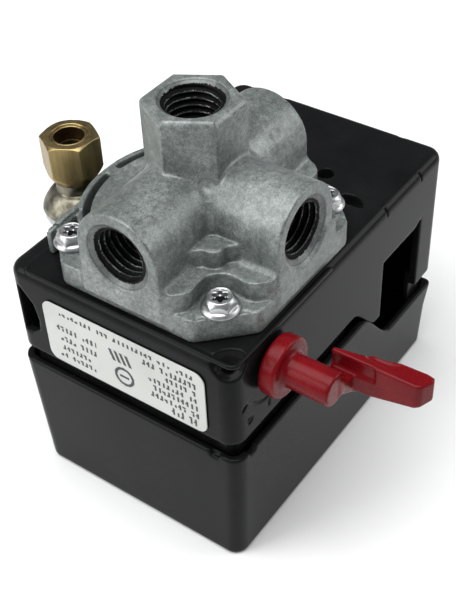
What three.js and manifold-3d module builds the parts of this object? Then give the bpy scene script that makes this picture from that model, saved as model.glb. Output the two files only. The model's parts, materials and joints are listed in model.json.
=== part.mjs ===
// Diaphragm pressure switch for an air compressor: a die-cast four-port manifold on a moulded
// base, a deep cover, an auto/off lever, an unloader valve, and the switch mechanism inside.
// Millimetres, +Z up. The switch stands on the flat face of its cover, ports upwards, and the
// origin is the centre of that face. -X is the label end, +X the conduit end, -Y the lever side.
// The pieces are laid out about a datum inside the base, and the whole is then moved to the origin.
import * as THREE from 'three';
import { mergeVertices } from 'three/addons/utils/BufferGeometryUtils.js';
import Module from 'manifold-3d';

const wasm = await Module();
wasm.setup();

// ---------------------------------------------------------------- driving dimensions
const GAP = 0.3; // between faces that touch on the real switch
const ROUND = 20; // segments of a large round feature
const SMALL_ROUND = 12; // segments of a small round feature
const REACH = 80; // past the part's sides, for cutting tools
const CENTRE = { x: 0.8, y: 1 }; // middle of the base and the cover, from the datum
const FOOT = -1.3; // height of the cover's flat face, from the datum

const COVER = {
  footHalfX: 51.7, footHalfY: 34.3, rimHalfX: 53.5, rimHalfY: 36.1,
  wall: 2.0, floor: 2.4, corner: 3.5, rim: 39.6, conduitRim: 22.9,
  rimStepX: 7.3, rimLowX: 28,
};
const BASE = {
  halfX: 52.4, halfY: 35.3, corner: 4.5, top: 72, wall: 2.5, deck: 4, edgeRound: 3,
  low: 44.4, conduitLow: 29, tongueLow: 35.4, reveal: 4.4,
  skirtInset: 2.2, skirtWall: 1.7, skirtLow: 34, conduitSkirtLow: 20.5,
};
const LEVER_WALL = CENTRE.y - BASE.halfY; // outer faces of two of the base's walls
const LABEL_WALL = CENTRE.x - BASE.halfX;
const CONDUIT = { x0: 20.1, x1: 41.3, top: 53, peak: 54.2, peakWidth: 2.4 };
const DECK_HOLE = { x: 24.6, y: -12.2, radius: 2.3 };
const LENS = { x: 17.9, y: -24.8, radius: 5.1, offset: 3.2, turn: -18 }; // two arcs meeting in points
const NOTCH = { half: 4, depth: 3.6, inset: 1 }; // relief at the corner between the label and the lever
const LABEL_CUTOUT = [ // notch in the label wall's edge, seen from the label side
  [30.9, 50.5], [33.4, 50.5], [33.4, 65.7], [32.4, 65.7], [28.6, 61.2], [27.6, 56.5], [28, 52.7],
];
const STICKER = { width: 50.8, y: -0.9, z0: 45.9, z1: 66, thickness: 0.25, corner: 3 };

const AXIS = { x: -18.4, y: -1.9 }; // the manifold, diaphragm and piston share this axis
const MANIFOLD = {
  half: 31.1, top: 115.5, flangeTop: 79, cornerCut: 11.4, deckTop: 84.2, deckCut: 17, rimRadius: 30.8,
  bossRadius: 12, portZ: 89.7, labelBossReach: 0.9,
  hubRadius: 23, hubTopRadius: 11.5, hubLow: 81.2, hubTop: 94.7,
  hexLow: 88.7, hexFlats: 22.2, bevelDrop: 1.2, bevelIn: 0.9, chamberRadius: 22, chamberTop: 76,
};
const WEB = { inner: 6, reach: 32.6, top: 88.7 }; // triangles between the side bosses
const RIB = { from: 6, to: 14.4, halfWidth: 0.9, top: 98 }; // small upright rib on each triangle
const POCKET = { inner: 27.4, outer: 29.3, spans: [[52, 86], [93, 128]] }; // degrees round from +X
const RAIL = { x0: 9, x1: 24, slopeX: 18, y0: 29.3, y1: 30.8, rise: 1.2, drop: 0.9 }; // on the valve side
const PORT = { mouth: 8.7, thread: 7.4, end: 6.6, mouthDepth: 0.8, threadDepth: 14, passage: 4.5 };
const SCREW = {
  dx: 23.2, dy: 22.5, seat: 79, shank: 2.5, flange: 4.85, flangeHeight: 1.2,
  hex: 7.2, crown: 3.6, headHeight: 3.7,
  recess: 4, recessDepth: 1.7, end: 63.4, clearance: 5.9, spotFace: 5.4,
};

const DIAPHRAGM = { radius: 26, thickness: 1.3 };
const PISTON = { radius: 15.2, stemRadius: 6, low: 63.6, stemLow: 59.3 };
const BRACKET = { z0: 65.7, z1: 67.7, x0: -47, x1: 27, halfY: 28.5, ear: 2, earX0: 9, earLow: 43 };
const LEVER_PIN = { x: 12, z: 53, radius: 2.5 };
const CARRIER_PIN = { x: 18, z: 47, radius: 2 };
const RANGE = {
  x: -38, stud: 3, studLow: 3.6, springRadius: 8, wire: 1.1, turns: 8, nutLow: 15, nutHeight: 5, seat: 1.6,
  seatRadius: 9.6, cup: 10, cupTop: 11,
};
const SNAP = { leverX: 4, carrierX: 25, z: 40 };
const MAIN_LEVER = {
  top: 59, thickness: 2.5, x0: -46, x1: 8, halfY: 20, endHalfY: 26, wideX0: -4, flange: 2,
  lugX0: -39, lugX1: -32.4, lugY: -27, // the auto/off lever's inner end passes over this lug
  pivotLug: [[16.4, 55], [16.4, 50.2], [8, 49.6]],
};

const OFF_LEVER = {
  x: -35.7, z: 62.3, disc: 8, discRear: -35.4, discFront: -39.8, shaft: 4.4, shaftEnd: -52.4,
  inner: 3, innerEnd: -21,
};
// The paddle seen from above: a narrow rail beside the shaft that widens into the finger grip.
const PADDLE = {
  plan: [
    [-27.2, -45.5], [-27.2, -68.6], [-26.4, -69.5], [-22.9, -71.1], [-21.8, -70.3], [-21.9, -61.4],
    [-22.5, -54.6], [-24.6, -52.4], [-25.4, -45.5],
  ],
  top: 64.9, low: 54.4, webX: -26, web: 5, underside: [[-56.2, 54.4], [-67, 57], [-75, 57.8]],
};
const VALVE = {
  x: -18.4, y: 40.3, lockFlats: 15.9, nutFlats: 14.3, nutLow: 77.3, nutTop: 90.5,
  seat: 68, flange: 10.1, flangeTop: 69.3, dome: [8.65, 72.4], neck: 5.2, shoulder: 74.3,
  spigot: 5.6, spigotTop: 84, barrel: 6, barrelLow: 55.4, chamber: 4, chamberTop: 66,
  tube: 4.15, stem: 1.3, stemLow: 51.3, collar: 3.2, collarLow: 58.1, collarHeight: 1.3,
  plug: 2.4, stemTop: 62.4, notch: 10.4, notchY: 29.8, notchLow: 47.2, tab: 9.6, tabHalf: 8,
};
const BLOCK = {
  x0: 30, x1: 48.4, halfY: 29.8, z0: 56, z1: 67.6, barriers: [-13, 0, 13], barrierLow: 49.6,
  screwX: 36, screwY: 27.2, screwShank: 1.5, screwTop: 70,
};
const TERMINAL_Y = [-19.5, -6.5, 6.5, 19.5];
const CONTACT = { x: 33, radius: 2, fixedZ: 53.6, plateZ0: 54.7, plateZ1: 55.7, screwX: 43 };

// ---------------------------------------------------------------- materials
const finish = (color, roughness, metalness) => (
  new THREE.MeshStandardMaterial({ color, roughness, metalness })
);
const ZINC = () => finish(0x8e9596, 0.5, 0.8);
const BLACK = () => finish(0x0d0e0f, 0.35, 0);
const RED = () => finish(0x7c0d12, 0.35, 0);
const BRASS = () => finish(0xa8873f, 0.35, 1);
const NICKEL = () => finish(0xa9a68c, 0.3, 1);
const STEEL = () => finish(0xb6babd, 0.35, 1);
const COPPER = () => finish(0xb5714a, 0.4, 1);
const PHENOLIC = () => finish(0x2b1d16, 0.6, 0);
const RUBBER = () => finish(0x161616, 0.85, 0);
const LABEL = () => finish(0xd9dad3, 0.6, 0);

// ---------------------------------------------------------------- solids
// A closed three.js geometry as a manifold solid.
function solid(geometry) {
  const bare = geometry.index ? geometry.clone() : geometry;
  bare.deleteAttribute('normal');
  bare.deleteAttribute('uv');
  const merged = mergeVertices(bare, 1e-4);
  return new wasm.Manifold(new wasm.Mesh({
    numProp: 3,
    vertProperties: new Float32Array(merged.attributes.position.array),
    triVerts: new Uint32Array(merged.index.array),
  }));
}

// A manifold solid as a three.js geometry.
function geometryOf(body) {
  const mesh = body.getMesh();
  const geometry = new THREE.BufferGeometry();
  geometry.setAttribute('position', new THREE.BufferAttribute(new Float32Array(mesh.vertProperties), 3));
  geometry.setIndex(new THREE.BufferAttribute(new Uint32Array(mesh.triVerts), 1));
  geometry.computeVertexNormals();
  return geometry;
}

const join = (...bodies) => bodies.reduce((a, b) => a.add(b));
const cut = (body, ...tools) => tools.reduce((a, b) => a.subtract(b), body);

function box(x0, x1, y0, y1, z0, z1) {
  const geometry = new THREE.BoxGeometry(x1 - x0, y1 - y0, z1 - z0);
  geometry.translate((x0 + x1) / 2, (y0 + y1) / 2, (z0 + z1) / 2);
  return solid(geometry);
}

// A round bar or cone along X, Y or Z from position a to position b, with a radius at each.
function rod(axis, a, b, u, v, radiusA, radiusB = radiusA, segments = SMALL_ROUND) {
  const geometry = new THREE.CylinderGeometry(radiusB, radiusA, b - a, segments);
  geometry.translate(0, (a + b) / 2, 0);
  if (axis === 'z') {
    geometry.rotateX(Math.PI / 2);
    geometry.translate(u, v, 0);
  } else if (axis === 'x') {
    geometry.rotateZ(-Math.PI / 2);
    geometry.translate(0, u, v);
  } else {
    geometry.translate(u, 0, v);
  }
  return solid(geometry);
}

// A hexagonal bar along Z with two corners on its own X axis.
function hexBar(x, y, z0, z1, flats, topRadius) {
  const radius = flats / Math.sqrt(3);
  const geometry = new THREE.CylinderGeometry(radius, radius, z1 - z0, 6);
  geometry.rotateY(Math.PI / 2);
  geometry.translate(0, (z0 + z1) / 2, 0);
  geometry.rotateX(Math.PI / 2);
  geometry.translate(x, y, 0);
  const bar = solid(geometry);
  if (!topRadius) return bar;
  const slope = 1.9;
  const cone = rod('z', z0 - 1, z1, x, y, topRadius + slope * (z1 - z0 + 1), topRadius, ROUND);
  return bar.intersect(cone);
}

// A solid of revolution about a vertical axis; points are [radius, height].
function turned(x, y, points, segments = ROUND) {
  const outline = points.map(([r, z]) => new THREE.Vector2(r, z));
  if (points[0][0] > 0) outline.push(outline[0].clone());
  const geometry = new THREE.LatheGeometry(outline, segments);
  geometry.rotateX(Math.PI / 2);
  geometry.translate(x, y, 0);
  return solid(geometry);
}

function roundedRect(halfX, halfY, radius) {
  const shape = new THREE.Shape();
  shape.moveTo(-halfX + radius, -halfY);
  shape.lineTo(halfX - radius, -halfY);
  shape.absarc(halfX - radius, -halfY + radius, radius, -Math.PI / 2, 0, false);
  shape.lineTo(halfX, halfY - radius);
  shape.absarc(halfX - radius, halfY - radius, radius, 0, Math.PI / 2, false);
  shape.lineTo(-halfX + radius, halfY);
  shape.absarc(-halfX + radius, halfY - radius, radius, Math.PI / 2, Math.PI, false);
  shape.lineTo(-halfX, -halfY + radius);
  shape.absarc(-halfX + radius, -halfY + radius, radius, Math.PI, Math.PI * 1.5, false);
  return shape;
}

function extrudeUp(shape, z0, z1, curveSegments = 4) {
  const geometry = new THREE.ExtrudeGeometry(shape, { depth: z1 - z0, bevelEnabled: false, curveSegments });
  geometry.translate(0, 0, z0);
  return solid(geometry);
}

const roundedBlock = (halfX, halfY, radius, z0, z1) => extrudeUp(roundedRect(halfX, halfY, radius), z0, z1);
const centredBlock = (...sizes) => roundedBlock(...sizes).translate([CENTRE.x, CENTRE.y, 0]);

// A block with rounded corners whose sides lean: one outline at the bottom, another at the top.
function taperedBlock(foot, rim, radius, z0, z1) {
  const geometry = new THREE.ExtrudeGeometry(roundedRect(rim[0], rim[1], radius), {
    depth: z1 - z0, bevelEnabled: false, curveSegments: 4,
  });
  const position = geometry.attributes.position;
  for (let i = 0; i < position.count; i += 1) {
    const atFoot = position.getZ(i) < (z1 - z0) / 2;
    const scaleX = atFoot ? foot[0] / rim[0] : 1;
    const scaleY = atFoot ? foot[1] / rim[1] : 1;
    const [x, y] = [position.getX(i) * scaleX + CENTRE.x, position.getY(i) * scaleY + CENTRE.y];
    position.setXYZ(i, x, y, position.getZ(i) + z0);
  }
  return solid(geometry);
}

// A prism along Y or X from an outline of [across, z] points.
function prism(axis, points, a, b) {
  const shape = new THREE.Shape(points.map(([u, z]) => new THREE.Vector2(u, z)));
  const geometry = new THREE.ExtrudeGeometry(shape, { depth: b - a, bevelEnabled: false });
  geometry.rotateX(Math.PI / 2);
  if (axis === 'y') {
    geometry.translate(0, b, 0);
  } else {
    geometry.rotateZ(Math.PI / 2);
    geometry.translate(a, 0, 0);
  }
  return solid(geometry);
}

class Helix extends THREE.Curve {
  constructor(radius, height, turns) {
    super();
    this.radius = radius;
    this.height = height;
    this.turns = turns;
  }

  getPoint(t, target = new THREE.Vector3()) {
    const angle = t * this.turns * Math.PI * 2;
    return target.set(this.radius * Math.cos(angle), this.radius * Math.sin(angle), t * this.height);
  }
}

// A coil spring standing on Z = 0, of the given wire radius, mean radius and overall height.
function coil(meanRadius, wire, height, turns, stepsPerTurn, sides) {
  const section = new THREE.Shape();
  section.absarc(0, 0, wire, 0, Math.PI * 2, false);
  const geometry = new THREE.ExtrudeGeometry(section, {
    steps: Math.round(turns * stepsPerTurn), extrudePath: new Helix(meanRadius, height - 2 * wire, turns),
    bevelEnabled: false, curveSegments: sides,
  });
  geometry.translate(0, 0, wire);
  return geometry;
}

// ---------------------------------------------------------------- the assembly
const pressureSwitch = new THREE.Group();

function add(name, shape, material, parent = pressureSwitch) {
  const mesh = new THREE.Mesh(shape.isBufferGeometry ? shape : geometryOf(shape), material);
  mesh.name = name;
  parent.add(mesh);
  return mesh;
}

const flangeScrewPlaces = [];
for (const sx of [-1, 1]) {
  for (const sy of [-1, 1]) flangeScrewPlaces.push([AXIS.x + sx * SCREW.dx, AXIS.y + sy * SCREW.dy]);
}

// ---- manifold: flange, raised deck, hub, hexagonal inlet boss and three side bosses
function portBore(axis, face, inward, u, v) {
  const at = (depth) => face + inward * depth;
  const piece = (d0, d1, r0, r1) => (inward < 0
    ? rod(axis, at(d1), at(d0), u, v, r1, r0, ROUND)
    : rod(axis, at(d0), at(d1), u, v, r0, r1, ROUND));
  return join(
    piece(-1, 0.01, PORT.mouth, PORT.mouth),
    piece(0, PORT.mouthDepth, PORT.mouth, PORT.thread),
    piece(PORT.mouthDepth - 0.01, PORT.threadDepth, PORT.thread, PORT.end),
  );
}

// A square with its four corners cut off at 45 degrees.
function cutSquare(half, corner) {
  const near = half - corner;
  const points = [
    [half, -near], [half, near], [near, half], [-near, half],
    [-half, near], [-half, -near], [-near, -half], [near, -half],
  ];
  return new THREE.Shape(points.map(([u, v]) => new THREE.Vector2(u, v)));
}

function ringSector(inner, outer, from, to) {
  const [a, b] = [from, to].map(THREE.MathUtils.degToRad);
  const shape = new THREE.Shape();
  shape.absarc(0, 0, outer, a, b, false);
  shape.absarc(0, 0, inner, b, a, true);
  return shape;
}

// The inlet hexagon: upright sides and a straight bevel along each top edge.
function inletHexagon() {
  const { x, y } = AXIS;
  const { hexLow, top, hexFlats, bevelDrop, bevelIn } = MANIFOLD;
  const shoulder = top - bevelDrop;
  const radius = hexFlats / Math.sqrt(3);
  const bevel = new THREE.CylinderGeometry(radius - (bevelIn * 2) / Math.sqrt(3), radius, bevelDrop, 6);
  bevel.rotateY(Math.PI / 2);
  bevel.rotateX(Math.PI / 2);
  bevel.translate(x, y, (shoulder + top) / 2);
  return join(hexBar(x, y, hexLow, shoulder + 0.001, hexFlats), solid(bevel));
}

function manifoldBody() {
  const { x, y } = AXIS;
  const { half, bossRadius, portZ, flangeTop, deckTop } = MANIFOLD;
  const low = BASE.top + GAP;
  const plate = extrudeUp(cutSquare(half, MANIFOLD.cornerCut), low, flangeTop).translate([x, y, 0]);
  const deck = cut(
    extrudeUp(cutSquare(half, MANIFOLD.deckCut), flangeTop - 0.5, deckTop).intersect(join(
      box(-REACH, REACH, -REACH, 0, low, deckTop),
      rod('z', low, deckTop, 0, 0, MANIFOLD.rimRadius, MANIFOLD.rimRadius, ROUND * 2),
    )).translate([x, y, 0]),
    ...flangeScrewPlaces.map(([sx, sy]) => (
      rod('z', low, deckTop + 1, sx, sy, SCREW.clearance, SCREW.clearance, ROUND))),
  );
  const { hubLow, hubTop, hubRadius, hubTopRadius } = MANIFOLD;
  const hub = rod('z', hubLow, hubTop, x, y, hubRadius, hubTopRadius, ROUND * 2);
  const boss = (turn, reach = 0) => join(
    rod('x', 0, half + reach, 0, portZ, bossRadius, bossRadius, ROUND),
    box(0, half + reach, -bossRadius, bossRadius, flangeTop - 0.5, portZ),
  ).rotate([0, 0, turn]).translate([x, y, 0]);
  const corners = [-1, 1].map((sx) => {
    const far = WEB.reach - WEB.inner;
    const outline = [[WEB.inner, WEB.inner], [far, WEB.inner], [WEB.inner, far]];
    const triangle = new THREE.Shape(outline.map(([u, v]) => new THREE.Vector2(u, v)));
    const web = extrudeUp(triangle, deckTop - 1, WEB.top);
    const rib = box(RIB.from, RIB.to, -RIB.halfWidth, RIB.halfWidth, deckTop - 1, RIB.top).rotate([0, 0, 45]);
    return join(web, rib).rotate([0, 0, sx < 0 ? 180 : -90]).translate([x, y, 0]);
  });
  const rails = [-1, 1].map((sx) => prism('y', [
    [x + sx * RAIL.x0, low], [x + sx * RAIL.x1, low], [x + sx * RAIL.x1, flangeTop + RAIL.rise - RAIL.drop],
    [x + sx * RAIL.slopeX, flangeTop + RAIL.rise], [x + sx * RAIL.x0, flangeTop + RAIL.rise],
  ], y + RAIL.y0, y + RAIL.y1));
  const pockets = POCKET.spans.map(([from, to]) => extrudeUp(
    ringSector(POCKET.inner, POCKET.outer, from, to), low - 1, deckTop + 1, 5,
  ).translate([x, y, 0]));
  return cut(
    join(
      plate, deck, hub, boss(0), boss(180, MANIFOLD.labelBossReach), boss(-90),
      ...corners, ...rails, inletHexagon(),
    ),
    portBore('z', MANIFOLD.top, -1, x, y),
    portBore('x', x - half - MANIFOLD.labelBossReach, 1, y, portZ),
    portBore('x', x + half, -1, y, portZ),
    portBore('y', y - half, 1, x, portZ),
    rod('z', low - 1, MANIFOLD.chamberTop, x, y, MANIFOLD.chamberRadius, MANIFOLD.chamberRadius, ROUND),
    rod('z', MANIFOLD.chamberTop - 1, MANIFOLD.top - 5, x, y, PORT.passage),
    rod('x', x - half + 5, x + half - 5, y, portZ, PORT.passage),
    rod('y', y - half + 5, y, x, portZ, PORT.passage),
    ...pockets,
    ...flangeScrewPlaces.map(([sx, sy]) => rod('z', low - 1, SCREW.seat + 1, sx, sy, SCREW.shank + GAP)),
    ...flangeScrewPlaces.map(([sx, sy]) => (
      rod('z', SCREW.seat - GAP, SCREW.seat + 5, sx, sy, SCREW.spotFace))),
  );
}
add('manifold', manifoldBody(), ZINC());

flangeScrewPlaces.forEach(([x, y], i) => {
  const { seat, headHeight, flange, flangeHeight, recess } = SCREW;
  const top = seat + headHeight;
  const shape = cut(
    join(
      rod('z', SCREW.end, seat + 0.5, x, y, SCREW.shank),
      rod('z', seat, seat + flangeHeight, x, y, flange, flange - 0.5, ROUND),
      hexBar(x, y, seat + flangeHeight - 0.2, top, SCREW.hex, SCREW.crown),
    ),
    hexBar(x, y, top - SCREW.recessDepth, top + 1, recess),
  );
  add(`flange_screw_${i + 1}`, shape, STEEL());
});

// ---- diaphragm and piston
const diaphragmLow = BASE.top - DIAPHRAGM.thickness;
add('diaphragm', turned(AXIS.x, AXIS.y, [
  [0, diaphragmLow], [DIAPHRAGM.radius, diaphragmLow], [DIAPHRAGM.radius, BASE.top], [0, BASE.top],
]), RUBBER());

const pistonTop = diaphragmLow - GAP;
add('piston', turned(AXIS.x, AXIS.y, [
  [0, PISTON.stemLow], [2.4, PISTON.stemLow], [PISTON.stemRadius - 1, PISTON.stemLow + 1],
  [PISTON.stemRadius, PISTON.stemLow + 2],
  [PISTON.stemRadius, PISTON.low], [PISTON.radius - 1, PISTON.low + 1.5],
  [PISTON.radius, PISTON.low + 2.5], [PISTON.radius, pistonTop], [0, pistonTop],
]), STEEL());

// ---- base housing: deck, four walls, and the skirt that goes inside the cover
// Height of the cover's rim at a place along X: it drops in an S-curve towards the conduit end.
function rimAt(x) {
  const t = Math.min(Math.max((x - COVER.rimStepX) / (COVER.rimLowX - COVER.rimStepX), 0), 1);
  return COVER.rim - (COVER.rim - COVER.conduitRim) * t * t * (3 - 2 * t);
}

// The space over an edge that follows a height function from x0 to x1, as a prism across the part.
function overEdge(heightAt, x0, x1, steps, upTo) {
  const points = [[x1, upTo], [x0, upTo]];
  for (let i = 0; i <= steps; i += 1) {
    const x = x0 + ((x1 - x0) * i) / steps;
    points.push([x, heightAt(x)]);
  }
  return prism('y', points, -REACH, REACH);
}

function baseHousing() {
  const { halfX, halfY, wall, top, deck, corner, skirtInset, skirtWall, edgeRound } = BASE;
  const below = BASE.conduitLow - 1;
  const inset = (d, z0, z1) => centredBlock(halfX - d, halfY - d, Math.max(corner - d, 0.8), z0, z1);
  const shell = cut(
    join(
      inset(0, BASE.conduitLow, top - edgeRound),
      inset(edgeRound * 0.3, top - edgeRound - 0.01, top - edgeRound / 3),
      inset(edgeRound * 0.75, top - edgeRound / 3 - 0.01, top),
    ),
    inset(wall, below, top - deck),
  );
  const lowEdge = (x) => Math.max(BASE.tongueLow, Math.min(BASE.low, rimAt(x) + BASE.reveal));
  const trimmed = cut(
    shell,
    box(-REACH, COVER.rimStepX, -REACH, REACH, below, BASE.low),
    overEdge(lowEdge, COVER.rimStepX - 0.01, CONDUIT.x0 + 0.5, 6, below),
  );
  const ring = (z0, z1) => cut(
    inset(skirtInset, z0, z1),
    inset(skirtInset + skirtWall, z0 - 1, z1 + 1),
  );
  const labelSkirt = ring(BASE.skirtLow, BASE.low + 4).subtract(
    box(COVER.rimStepX - 4, REACH, -REACH, REACH, BASE.skirtLow - 1, BASE.low + 5),
  );
  const conduitSkirt = ring(BASE.conduitSkirtLow, BASE.conduitLow + 4).subtract(
    box(-REACH, CONDUIT.x1, -REACH, REACH, BASE.conduitSkirtLow - 1, BASE.conduitLow + 5),
  );
  const cornerNotch = box(-NOTCH.half, NOTCH.half, -NOTCH.half, NOTCH.half, top - NOTCH.depth, top + 1)
    .rotate([0, 0, 45]).translate([LABEL_WALL + NOTCH.inset, LEVER_WALL + NOTCH.inset, 0]);
  const labelCutout = prism('x', LABEL_CUTOUT, LABEL_WALL - 1, LABEL_WALL + wall + 0.5);
  const lens = rod('z', top - deck - 1, top + 1, -LENS.offset, 0, LENS.radius, LENS.radius, ROUND)
    .intersect(rod('z', top - deck - 1, top + 1, LENS.offset, 0, LENS.radius, LENS.radius, ROUND))
    .rotate([0, 0, LENS.turn]).translate([LENS.x, LENS.y, 0]);
  const conduit = join(
    box(CONDUIT.x0, CONDUIT.x1, -REACH, REACH, below, CONDUIT.top),
    box(CONDUIT.x1 - CONDUIT.peakWidth, CONDUIT.x1, -REACH, REACH, below, CONDUIT.peak),
  );
  const diaphragmSeat = DIAPHRAGM.radius + GAP;
  const pistonHole = PISTON.radius + 2 * GAP;
  const holeThroughDeck = (x, y, radius) => rod('z', top - deck - 1, top + 1, x, y, radius);
  const blockScrewHole = (side) => rod(
    'z', top - deck - 1, BLOCK.screwTop + 0.4, BLOCK.screwX, side * BLOCK.screwY, BLOCK.screwShank + GAP,
  );
  return cut(
    join(trimmed, labelSkirt, conduitSkirt),
    conduit,
    rod('z', top - deck - 1, top + 1, AXIS.x, AXIS.y, pistonHole, pistonHole, ROUND),
    rod('z', diaphragmLow - GAP, top + 1, AXIS.x, AXIS.y, diaphragmSeat, diaphragmSeat, ROUND),
    ...flangeScrewPlaces.map(([x, y]) => holeThroughDeck(x, y, SCREW.shank + GAP)),
    rod('y', LEVER_WALL - 1, LEVER_WALL + wall + 1, OFF_LEVER.x, OFF_LEVER.z, OFF_LEVER.shaft + GAP),
    cornerNotch, labelCutout, lens,
    box(VALVE.x - VALVE.notch, VALVE.x + VALVE.notch, VALVE.notchY, REACH, VALVE.notchLow, top + 1),
    holeThroughDeck(DECK_HOLE.x, DECK_HOLE.y, DECK_HOLE.radius),
    ...[-1, 1].map(blockScrewHole),
  );
}
add('base_housing', baseHousing(), BLACK());

// ---- cover: a deep tapered shell with a recess for the nut that holds it
function coverShell() {
  const { wall, floor, rim, corner } = COVER;
  const foot = [COVER.footHalfX, COVER.footHalfY];
  const mouth = [COVER.rimHalfX, COVER.rimHalfY];
  const thinner = (pair) => pair.map((half) => half - wall);
  const outside = taperedBlock(foot, mouth, corner, FOOT, rim).intersect(join(
    centredBlock(foot[0] - 0.8, foot[1] - 0.8, corner, FOOT, FOOT + 1),
    roundedBlock(REACH, REACH, 1, FOOT + 1, rim),
  ));
  const inside = taperedBlock(thinner(foot), thinner(mouth), corner - wall, FOOT + floor, rim)
    .add(centredBlock(mouth[0] - wall, mouth[1] - wall, corner - wall, rim - 0.01, rim + 1));
  const cup = rod('z', FOOT + 1, RANGE.cupTop, RANGE.x, AXIS.y, RANGE.cup, RANGE.cup, ROUND);
  return cut(
    join(cut(outside, inside), cup),
    overEdge(rimAt, COVER.rimStepX, COVER.rimLowX, 8, rim + 2),
    box(COVER.rimLowX - 0.01, REACH, -REACH, REACH, COVER.conduitRim, rim + 2),
    rod('z', FOOT - 1, RANGE.cupTop - floor, RANGE.x, AXIS.y, RANGE.cup - floor, RANGE.cup - floor, ROUND),
    rod('z', 1, RANGE.cupTop + 1, RANGE.x, AXIS.y, RANGE.stud + GAP),
  );
}
add('cover', coverShell(), BLACK());

function labelPlate() {
  const { width, z0, z1, y, thickness, corner } = STICKER;
  const shape = roundedRect(width / 2, (z1 - z0) / 2, corner);
  const geometry = new THREE.ExtrudeGeometry(shape, {
    depth: thickness, bevelEnabled: false, curveSegments: 3,
  });
  geometry.rotateX(Math.PI / 2);
  geometry.rotateZ(Math.PI / 2);
  geometry.translate(LABEL_WALL - GAP - thickness, y, (z0 + z1) / 2);
  return geometry;
}
add('rating_label', labelPlate(), LABEL());

// ---- mechanism bracket: a pierced steel plate under the deck, with two ears for the pivots
function mechanismBracket() {
  const { z0, z1, x0, x1, halfY, ear, earX0, earLow } = BRACKET;
  const ears = [-1, 1].map((side) => {
    const [y0, y1] = side < 0 ? [-halfY, -halfY + ear] : [halfY - ear, halfY];
    return box(earX0, x1, y0, y1, earLow, z0 + 0.5);
  });
  const tab = join(
    box(VALVE.x - VALVE.tabHalf, VALVE.x + VALVE.tabHalf, halfY - 1, VALVE.y, z0, z1),
    rod('z', z0, z1, VALVE.x, VALVE.y, VALVE.tab, VALVE.tab, ROUND),
  );
  return cut(
    join(box(x0, x1, -halfY, halfY, z0, z1), ...ears, tab),
    rod('z', z0 - 1, z1 + 1, AXIS.x, AXIS.y, PISTON.radius + 1.2, PISTON.radius + 1.2, ROUND),
    ...flangeScrewPlaces.map(([x, y]) => rod('z', z0 - 1, z1 + 1, x, y, SCREW.shank + GAP)),
    rod('z', z0 - 1, z1 + 1, VALVE.x, VALVE.y, VALVE.barrel + GAP),
    rod('z', z0 - 1, z1 + 1, RANGE.x, AXIS.y, RANGE.stud + GAP),
    rod('y', -REACH, REACH, LEVER_PIN.x, LEVER_PIN.z, LEVER_PIN.radius + GAP),
    rod('y', -REACH, REACH, CARRIER_PIN.x, CARRIER_PIN.z, CARRIER_PIN.radius + GAP),
  );
}
add('mechanism_bracket', mechanismBracket(), STEEL());
const pinEnd = BRACKET.halfY + 1;
const pivotPin = ({ x, z, radius }) => rod('y', -pinEnd, pinEnd, x, z, radius);
add('lever_pivot_pin', pivotPin(LEVER_PIN), STEEL());
add('carrier_pivot_pin', pivotPin(CARRIER_PIN), STEEL());

// ---- main lever: the piston pushes it down, the range spring pushes it up
function mainLever() {
  const { top, thickness, x0, x1, halfY, endHalfY, wideX0, lugX0, lugX1, lugY } = MAIN_LEVER;
  const low = top - thickness;
  const flanges = [-1, 1].map((side) => {
    const [y0, y1] = side < 0
      ? [-endHalfY, -endHalfY + MAIN_LEVER.flange]
      : [endHalfY - MAIN_LEVER.flange, endHalfY];
    return prism('y', [
      [wideX0, low + 0.5], [x1, low + 0.5], ...MAIN_LEVER.pivotLug, [wideX0, low - 2],
    ], y0, y1);
  });
  return cut(
    join(
      box(x0, x1, -halfY, halfY, low, top),
      box(wideX0, x1, -endHalfY, endHalfY, low, top),
      box(lugX0, lugX1, lugY, -halfY + 1, low, top),
      box(SNAP.leverX - 2, SNAP.leverX, -4, 4, SNAP.z - 3, low + 0.5),
      ...flanges,
    ),
    rod('y', -REACH, REACH, LEVER_PIN.x, LEVER_PIN.z, LEVER_PIN.radius + GAP),
    rod('z', low - 1, top + 1, RANGE.x, AXIS.y, RANGE.stud + 1.5),
  );
}
add('main_lever', mainLever(), STEEL());

// ---- range stud, adjusting nut, spring seat, spring, and the nut that holds the cover
add('range_stud', rod('z', RANGE.studLow, BRACKET.z1 - 0.1, RANGE.x, AXIS.y, RANGE.stud), STEEL());
add('range_nut', cut(
  hexBar(RANGE.x, AXIS.y, RANGE.nutLow, RANGE.nutLow + RANGE.nutHeight, 13),
  rod('z', 0, 60, RANGE.x, AXIS.y, RANGE.stud + GAP),
), STEEL());
const seatLow = RANGE.nutLow + RANGE.nutHeight + GAP;
add('spring_seat', cut(
  rod('z', seatLow, seatLow + RANGE.seat, RANGE.x, AXIS.y, RANGE.seatRadius, RANGE.seatRadius, ROUND),
  rod('z', 0, 60, RANGE.x, AXIS.y, RANGE.stud + GAP),
), STEEL());
const springLow = seatLow + RANGE.seat + GAP;
const springTop = MAIN_LEVER.top - MAIN_LEVER.thickness - GAP;
const rangeSpring = coil(RANGE.springRadius, RANGE.wire, springTop - springLow, RANGE.turns, 10, 2);
rangeSpring.translate(RANGE.x, AXIS.y, springLow);
add('range_spring', rangeSpring, STEEL());
add('cover_nut', cut(
  join(
    hexBar(RANGE.x, AXIS.y, 2.4, RANGE.cupTop - COVER.floor - GAP, 10),
    turned(RANGE.x, AXIS.y, [[0, 0.7], [2.6, 1], [4, 1.8], [4.7, 3], [0, 3]], SMALL_ROUND),
  ),
  rod('z', RANGE.studLow - GAP, RANGE.cupTop, RANGE.x, AXIS.y, RANGE.stud + GAP),
), STEEL());

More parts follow.
